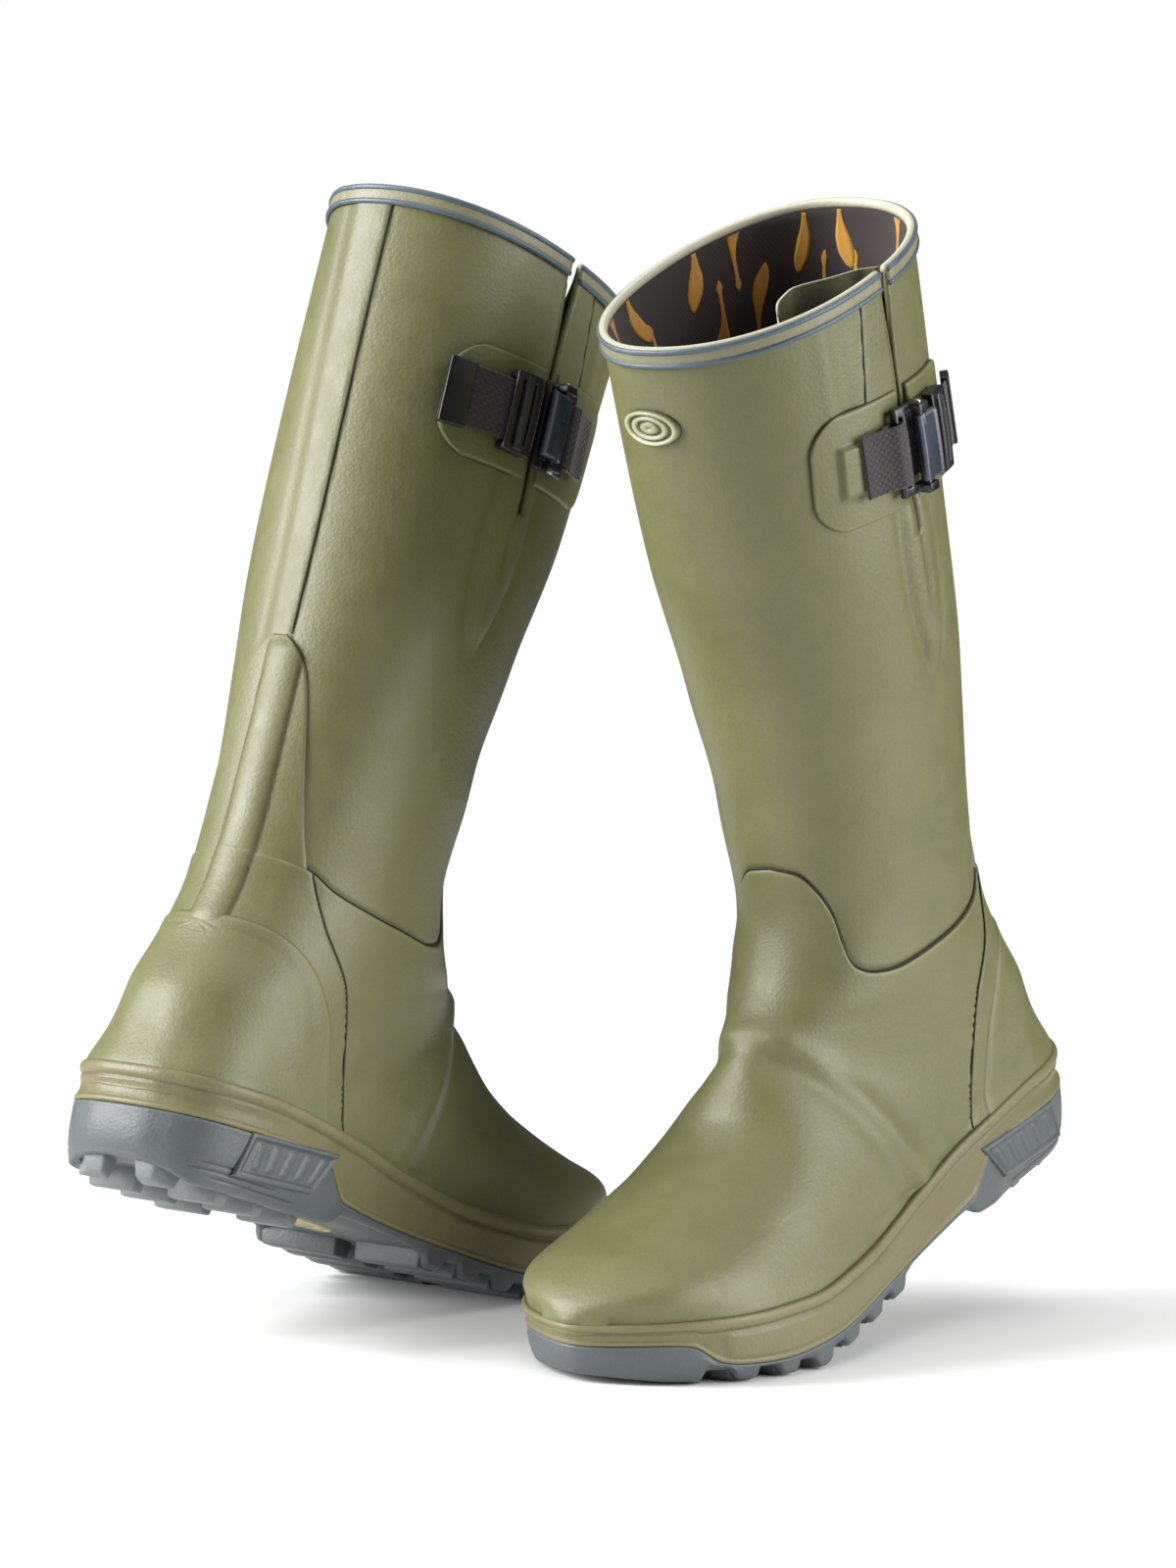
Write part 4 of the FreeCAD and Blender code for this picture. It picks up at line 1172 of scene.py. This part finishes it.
def make_badge():
    def at(a, b, h):
        t, u = locate(-6 + a, 364 + b, [1, 2], -40, 40)
        return fan(t, u, h)

    # the pale rings are the badge's own colour; the dark rings in the grooves are its dark line
    # with painted shade, and the darkest ring round its foot is painted shadow
    oval("badge", at, "badge_pale", (13.8, 7.4),
         [(0.02, 1.7, 0.3), (0.2, 1.75, 0.3), (0.3, 1.7, 0.2), (0.34, 1.2, -0.8),
          (0.42, 1.15, -0.9), (0.47, 1.9, 0.3), (0.56, 2.1, 0.5), (0.63, 1.9, 0.3),
          (0.67, 1.3, -0.8), (0.75, 1.25, -0.9), (0.79, 2.1, 0.4), (0.87, 2.4, 0.6),
          (0.95, 2.0, 0.2), (1.0, 0.9, -0.7), (1.03, 0.1, -1.0), (1.05, -0.4, -1.0)], -0.6)


# ---- tabs, buckle and straps ----------------------------------------------------------------
def make_tab(name, x_flat, x_round, bump_x):
    """A rubber tab, rounded at one end, with a raised channel-shaped pad moulded in it."""
    tall, corner = 47.0, 15.0
    sign = 1 if x_round > x_flat else -1
    b = with_edges(tall, 0.8) - tall / 2
    over = np.clip((np.abs(b) - (tall / 2 - corner)) / corner, 0, 1)
    end = corner * (1 - np.sqrt(np.clip(1 - over ** 2, 0, 1)))
    full = abs(x_round - x_flat)
    a = with_edges(full, 0.8) / full
    x = x_flat + sign * a[None] * (full - end)[:, None]
    z = STRAP_Z + b[:, None] + 0 * x
    t, u = locate(x, z, [0, 2], 20, 165)
    d_round = (full - end)[:, None] - np.abs(x - x_flat)
    border = np.minimum(np.minimum(np.abs(x - x_flat) + 20, d_round),
                        tall / 2 - np.abs(z - STRAP_Z))
    g = np.where(border < 0.02, -0.3, 1.75 * roll(border, 1.3))
    dx, dz = (x - bump_x) * sign, z - STRAP_Z
    frame_in = np.maximum(np.abs(dz) - 9.0, dx - 5.0)
    pad = ease(-frame_in / 2.2 + 0.9)
    g += 2.0 * pad * ease((dx + 26) / 6)
    # painted shade along the tab's edge and round the pad, and a painted highlight on its rounded
    # shoulder
    shade = (-0.9 * bell(border, 0.45) + 0.3 * bell(border - 1.1, 0.4)
             - 0.12 * bell(frame_in - 2.4, 1.4))
    slab(name, fan(t, u, g), fan(t, u, -0.6), "shell_rubber", shade)


STRAP_CENTRE, STRAP_RADIUS = (87.953, -16.034), 71.983
WEB_WIDTH, RIB_PITCH, WEFT_PITCH = 25.0, 1.47, 1.5


def arc_point(x, out, z):
    """A point on the strap's arc, given its place along the boot and its height above it."""
    a = np.arccos((x - STRAP_CENTRE[0]) / STRAP_RADIUS)
    r = STRAP_RADIUS + out
    return np.stack(np.broadcast_arrays(STRAP_CENTRE[0] + r * np.cos(a),
                                        STRAP_CENTRE[1] + r * np.sin(a), STRAP_Z + z), -1)


def web(name, length, follow, low, high, **rest):
    """Ribbed webbing: follow(s, out, z) is followed from 0 to its length, between two heights."""
    s = np.linspace(0, length, max(8, int(length / 0.36)))[:, None]
    b = np.concatenate([[0, 0.1, 0.35], np.linspace(0.7, WEB_WIDTH - 0.7, 92),
                        WEB_WIDTH - np.array([0.35, 0.1, 0])])
    z = (b - WEB_WIDTH / 2)[None]
    edge = roll(np.minimum(b, WEB_WIDTH - b), 0.7)[None]
    rib = 0.5 + 0.5 * np.cos(2 * PI * z / RIB_PITCH)
    weft = 0.5 + 0.5 * np.cos(2 * PI * s / WEFT_PITCH)
    middle, half = (low + high) / 2, (high - low) / 2
    swell = half * edge + 0.16 * (rib * (0.4 + 0.6 * weft) - 0.4) * edge
    # the tone paints shade in the valleys between the ribs and between the weft rows
    slab(name, follow(s, middle + swell, z), follow(s, middle - swell, z), "webbing",
         -0.45 * (1 - rib) * edge - 0.25 * (1 - weft),
         uv=np.stack(np.broadcast_arrays(b[None], s), -1) / 1000, **rest)


def cells(name, breaks, solid, mapping, slot, bevel=0.5, tone=0.0, **rest):
    """A bevelled solid made of the marked cells of a small three-way grid, then mapped in place."""
    bm = bmesh.new()
    made = {}
    sizes = [len(b) - 1 for b in breaks]

    def corner(*at):
        if at not in made:
            made[at] = bm.verts.new([b[i] for b, i in zip(breaks, at)])
        return made[at]

    def full(*at):
        return all(0 <= i < size for i, size in zip(at, sizes)) and solid(*at)

    # a wall's outward step, and its corners in turn
    walls = (((1, 0, 0), [(1, 0, 0), (1, 1, 0), (1, 1, 1), (1, 0, 1)]),
             ((-1, 0, 0), [(0, 0, 0), (0, 0, 1), (0, 1, 1), (0, 1, 0)]),
             ((0, 1, 0), [(0, 1, 0), (0, 1, 1), (1, 1, 1), (1, 1, 0)]),
             ((0, -1, 0), [(0, 0, 0), (1, 0, 0), (1, 0, 1), (0, 0, 1)]),
             ((0, 0, 1), [(0, 0, 1), (1, 0, 1), (1, 1, 1), (0, 1, 1)]),
             ((0, 0, -1), [(0, 0, 0), (0, 1, 0), (1, 1, 0), (1, 0, 0)]))
    for i, j, k in np.ndindex(*sizes):
        if full(i, j, k):
            for (di, dj, dk), ring in walls:
                if not full(i + di, j + dj, k + dk):
                    bm.faces.new([corner(i + a, j + b, k + c) for a, b, c in ring])
    bmesh.ops.dissolve_limit(bm, angle_limit=0.02, verts=bm.verts[:], edges=bm.edges[:])
    sharp = [e for e in bm.edges if len(e.link_faces) == 2 and e.calc_face_angle() > 0.5]
    bmesh.ops.bevel(bm, geom=sharp, offset=bevel, segments=3, affect="EDGES", profile=0.5,
                    clamp_overlap=True)
    bmesh.ops.triangulate(bm, faces=[f for f in bm.faces if len(f.verts) > 4])
    long = [e for e in bm.edges if e.calc_length() > 4.0]
    bmesh.ops.subdivide_edges(bm, edges=long, cuts=3, use_grid_fill=True)
    bmesh.ops.triangulate(bm, faces=[f for f in bm.faces if len(f.verts) > 4])
    points, faces = gathered([bm])
    return piece(name, mapping(*points.T), faces, slot, tone=np.full(len(points), tone), sharp=0.6,
                 **rest)


def straight(x, y, z):
    return np.stack([x, y, z + STRAP_Z], -1)


FRAME_Y = (SIDE_TOP + 4.4, SIDE_TOP + 7.2)


def make_buckle():
    pin_y = SIDE_TOP + PIN_LIFT

    def bowed(x, y, z):
        """The frame's bars bow out a little towards their middle."""
        return straight(x, y + 0.5 * (1 - (z / 18) ** 2) - 0.008 * (x - 93) ** 2, z)

    cells("buckle_frame", ([83, 86, 87.6, 94.4, 96.5, 98.9, 101, 103], [*FRAME_Y, pin_y + 3.0],
                           [-18, -14.2, 14.2, 18]),
          lambda i, j, k: i == 2 and k != 1 if j == 1 else k != 1 or i in (0, 4, 6),
          bowed, "black_plastic", 0.7)

    # lever: a softly domed plate on a round hub
    tall, deep, edges = 27.0, 12.4, (0.0, 0.1, 0.35, 0.7, 1.1)
    a, b = np.meshgrid(with_edges(deep, 0.6, edges), with_edges(tall, 0.8, edges), indexing="ij")
    border = np.minimum(np.minimum(a, deep - a), np.minimum(b, tall - b))
    dome = 0.55 * (1 - (2 * b / tall - 1) ** 2) + 0.25 * np.sin(PI * a / deep)
    lip = 0.5 * bell(a - 1.6, 0.7) * ease((border - 0.6) / 0.5)
    top = pin_y + 0.9 + 1.5 * roll(border, 1.1) + dome * 0.6 + lip
    x, z = PIN_X - 9.4 + a, b - tall / 2
    # a painted highlight along the lever plate's rim
    slab("buckle_lever", straight(x, top, z), straight(x, pin_y + 0.7 + 0 * top, z),
         "lever_plastic", 0.35 * bell(border - 0.7, 0.4), body="lever")

    def lathed(profile):
        """Rings round the pin's axis, given as (radius, place along it)."""
        a = circle(28)
        return np.array([straight(PIN_X + r * np.cos(a), pin_y + r * np.sin(a), h + 0 * a)
                         for r, h in profile])

    end = tall / 2
    hoop("lever_hub", lathed([(1.55, -end), (2.5, -end), (2.7, 0.3 - end), (2.7, end - 0.3),
                              (2.5, end), (1.55, end)]), "lever_plastic", body="lever")
    pin = [(1.5, 18.0), (1.4, 18.5), (1.0, 18.9), (0.1, 19.0)]
    tube("lever_pin", lathed([(r, -h) for r, h in pin[::-1]] + pin), "pin_steel", body="lever")


def make_webbing():
    low, high = FRAME_Y
    # front loop: from the tab, round the frame's front bar and back under it
    t, u = locate(np.array([119.0, 113.0, 107.5]), STRAP_Z, [0, 2], 20, 140)
    start, middle, turn = fan(t, u, 4.9)[:, :2]
    path = through([start, middle, turn + (0, 1.6), (104.6, low + 3.8), (102.6, high + 1.1),
                    (100.2, high + 1.0), (99.6, high - 1.2), (99.9, low - 0.9), (102.5, low - 1.3),
                    turn + (0.4, -0.6)], np.linspace(0, 1, 120))
    for _ in range(6):
        path[1:-1] = (path[:-2] + 2 * path[1:-1] + path[2:]) / 4
    run = path_length(path)
    along = np.gradient(path, axis=0)
    normal = unit(np.stack([-along[:, 1], along[:, 0]], -1))
    if normal[0, 1] < 0:
        normal = -normal

    def follow(s, out, z):
        x, y = (np.interp(s, run, path[:, k]) + np.interp(s, run, normal[:, k]) * out
                for k in (0, 1))
        return np.stack(np.broadcast_arrays(x, y, STRAP_Z + z), -1)

    web("webbing_loop", run[-1], follow, -0.7, 0.7)
    web("strap", 34.0, lambda s, out, z: arc_point(63.0 + s, out, z), 2.65, 4.15)
    web("strap_tail", 36.0, lambda s, out, z: arc_point(46.0 + s, out, z), 4.75, 6.15, body="tail")

    def crowned(x, out, z):
        return arc_point(x, out + 0.35 * (1 - (z / 16) ** 2), z)

    cells("rear_slider", ([67.0, 70, 76, 79.0], [2.45, 4.3, 6.55, 8.4], [-16.5, -13.3, 13.3, 16.5]),
          lambda i, j, k: k != 1 or (j == 2 and i != 1), crowned, "black_plastic", 0.8)
    # the raised thumb bar
    cells("slider_bar", ([71.0, 75.0], [6.6, 8.9], [-15.4, 15.4]), lambda *_: True, crowned,
          "black_plastic", 0.9, 0.1)
    cells("strap_tip", ([43.4, 45.4, 52.0], [3.75, 4.72, 6.2, 7.2], [-13.7, -12.6, 12.6, 13.7]),
          lambda i, j, k: i == 0 or k != 1 or j != 1, arc_point, "black_plastic", 0.45, body="tail")


def make_footbed():
    """Cupped foam insole with a rolled edge."""
    floor = ((0, 40), (20, 36), (45, 31), (70, 29.6), (205, 29.6), (235, 32.6), (262, 37.6),
             (290, 43))
    rows = []
    for inward, lift in ((0, -0.6), (0, 1.0), (0.02, 2.6), (0.05, 3.6), (0.1, 4.3), (0.18, 4.5),
                         (0.3, 4.4), (0.5, 4.3), (0.75, 4.3), (0.93, 4.3)):
        ring = sole_ring(-11.5, 0.0, inward)
        cup = 5.0 * bell(inward, 0.12) * ease((70 - ring[:, 0]) / 60)
        ring[:, 2] = curve(floor, np.clip(ring[:, 0], 0, 290)) + 2.2 + lift + cup
        rows.append(ring)
    grid = np.array(rows)
    under = grid.copy()
    under[..., 2] = curve(floor, np.clip(grid[..., 0], 0, 290)) + 1.6
    for bed in slab("footbed", grid, under, "footbed_foam", None, True):
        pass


# ---- put together ---------------------------------------------------------------------------
def make_boots():
    make_leg()
    make_print()
    make_binding()
    make_gusset()
    make_vamp()
    make_backstay()
    make_counter()
    make_seams()
    make_midsole()
    make_outsole()
    make_lugs()
    make_heel_plates()
    make_inlay()
    make_badge()
    make_tab("front_tab", 94.0, 139.0, 122.0)
    make_tab("rear_tab", 86.0, 44.0, 60.0)
    make_buckle()
    make_webbing()
    make_footbed()
    for node, slot in (("toe_puff", "stiffener_board"), ("heel_stiffener", "stiffener_board"),
                       ("shank", "shank_steel"), ("insole_board", "stiffener_board")):
        for side in SIDES:
            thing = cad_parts[f"{side}_{node}"]
            for holder in thing.material_slots:
                holder.material = MATERIALS[slot]
            if not thing.material_slots:
                thing.data.materials.append(MATERIALS[slot])


def make_camera():
    azimuth, elevation, roll_angle, distance = 36.2 * DEG, 5.0 * DEG, 1.75 * DEG, 2.257
    target = Vector((-0.0035, -0.0059, 0.2179))
    level = math.cos(elevation)
    away = Vector((math.sin(azimuth) * level, -math.cos(azimuth) * level, math.sin(elevation)))
    data = bpy.data.cameras.new("camera")
    data.lens, data.sensor_width = 129.4, 36.0
    camera = bpy.data.objects.new("camera", data)
    turn = away.to_track_quat("Z", "Y").to_matrix().to_4x4() @ Matrix.Rotation(roll_angle, 4, "Z")
    camera.matrix_world = Matrix.Translation(target + away * distance) @ turn
    bpy.context.scene.collection.objects.link(camera)
    bpy.context.scene.camera = camera


def area_light(name, place_at, aim, size, power):
    data = bpy.data.lights.new(name, "AREA")
    data.shape, data.size, data.size_y = "RECTANGLE", size[0], size[1]
    data.energy = power
    lamp = bpy.data.objects.new(name, data)
    turn = (Vector(place_at) - Vector(aim)).to_track_quat("Z", "Y")
    lamp.matrix_world = Matrix.Translation(place_at) @ turn.to_matrix().to_4x4()
    bpy.context.scene.collection.objects.link(lamp)


def make_studio():
    world = bpy.data.worlds.new("studio")
    world.use_nodes = True
    nodes = Nodes(world.node_tree)
    colour, strength = world.node_tree.nodes["Background"].inputs[:2]
    colour.default_value = (1, 1, 1, 1)
    # white to the camera, and only a faint fill light on the boots
    camera_sees = nodes.add("LightPath").outputs["Is Camera Ray"]
    nodes.put(strength, nodes.add("MapRange", _0=camera_sees, _3=0.07, _4=1.0).outputs[0])
    bpy.context.scene.world = world
    bpy.context.scene.view_settings.view_transform = "Standard"
    mesh = bpy.data.meshes.new("floor")
    far = 3.0
    mesh.from_pydata([(-far, -far, 0), (far, -far, 0), (far, far, 0), (-far, far, 0)], [],
                     [(0, 1, 2, 3)])
    floor = bpy.data.objects.new("floor", mesh)
    bpy.context.scene.collection.objects.link(floor)
    material, nodes, inputs, _ = new_material("floor")
    for key, value in (("Base Color", (0.9, 0.9, 0.9, 1)), ("Roughness", 0.9),
                       ("Specular IOR Level", 0.2)):
        inputs[key].default_value = value
    # the floor fades out around the boots, into the white behind it
    spot = nodes.add("NewGeometry").outputs["Position"]
    radius = nodes.add("VectorMath", {"operation": "LENGTH"}, _0=spot).outputs["Value"]
    fade = nodes.add("MapRange", {"interpolation_type": "SMOOTHSTEP"}, _0=radius, _1=0.5, _2=1.3)
    tree = material.node_tree
    both = nodes.add("MixShader", _0=fade.outputs[0], _1=tree.nodes["Principled BSDF"].outputs[0],
                     _2=nodes.add("BsdfTransparent").outputs[0])
    nodes.put(tree.nodes["Material Output"].inputs[0], both.outputs[0])
    mesh.materials.append(material)
    area_light("left_softbox", (-1.78, -1.84, 1.25), (0, 0, 0.25), (1.5, 2.1), 188)
    area_light("right_softbox", (1.98, 0.70, 0.8), (0, 0, 0.25), (1.4, 1.8), 66)
    area_light("top_softbox", (0.0, 0.0, 3.0), (0, 0, 0.0), (3.2, 3.2), 54)


make_boots()
make_camera()
make_studio()
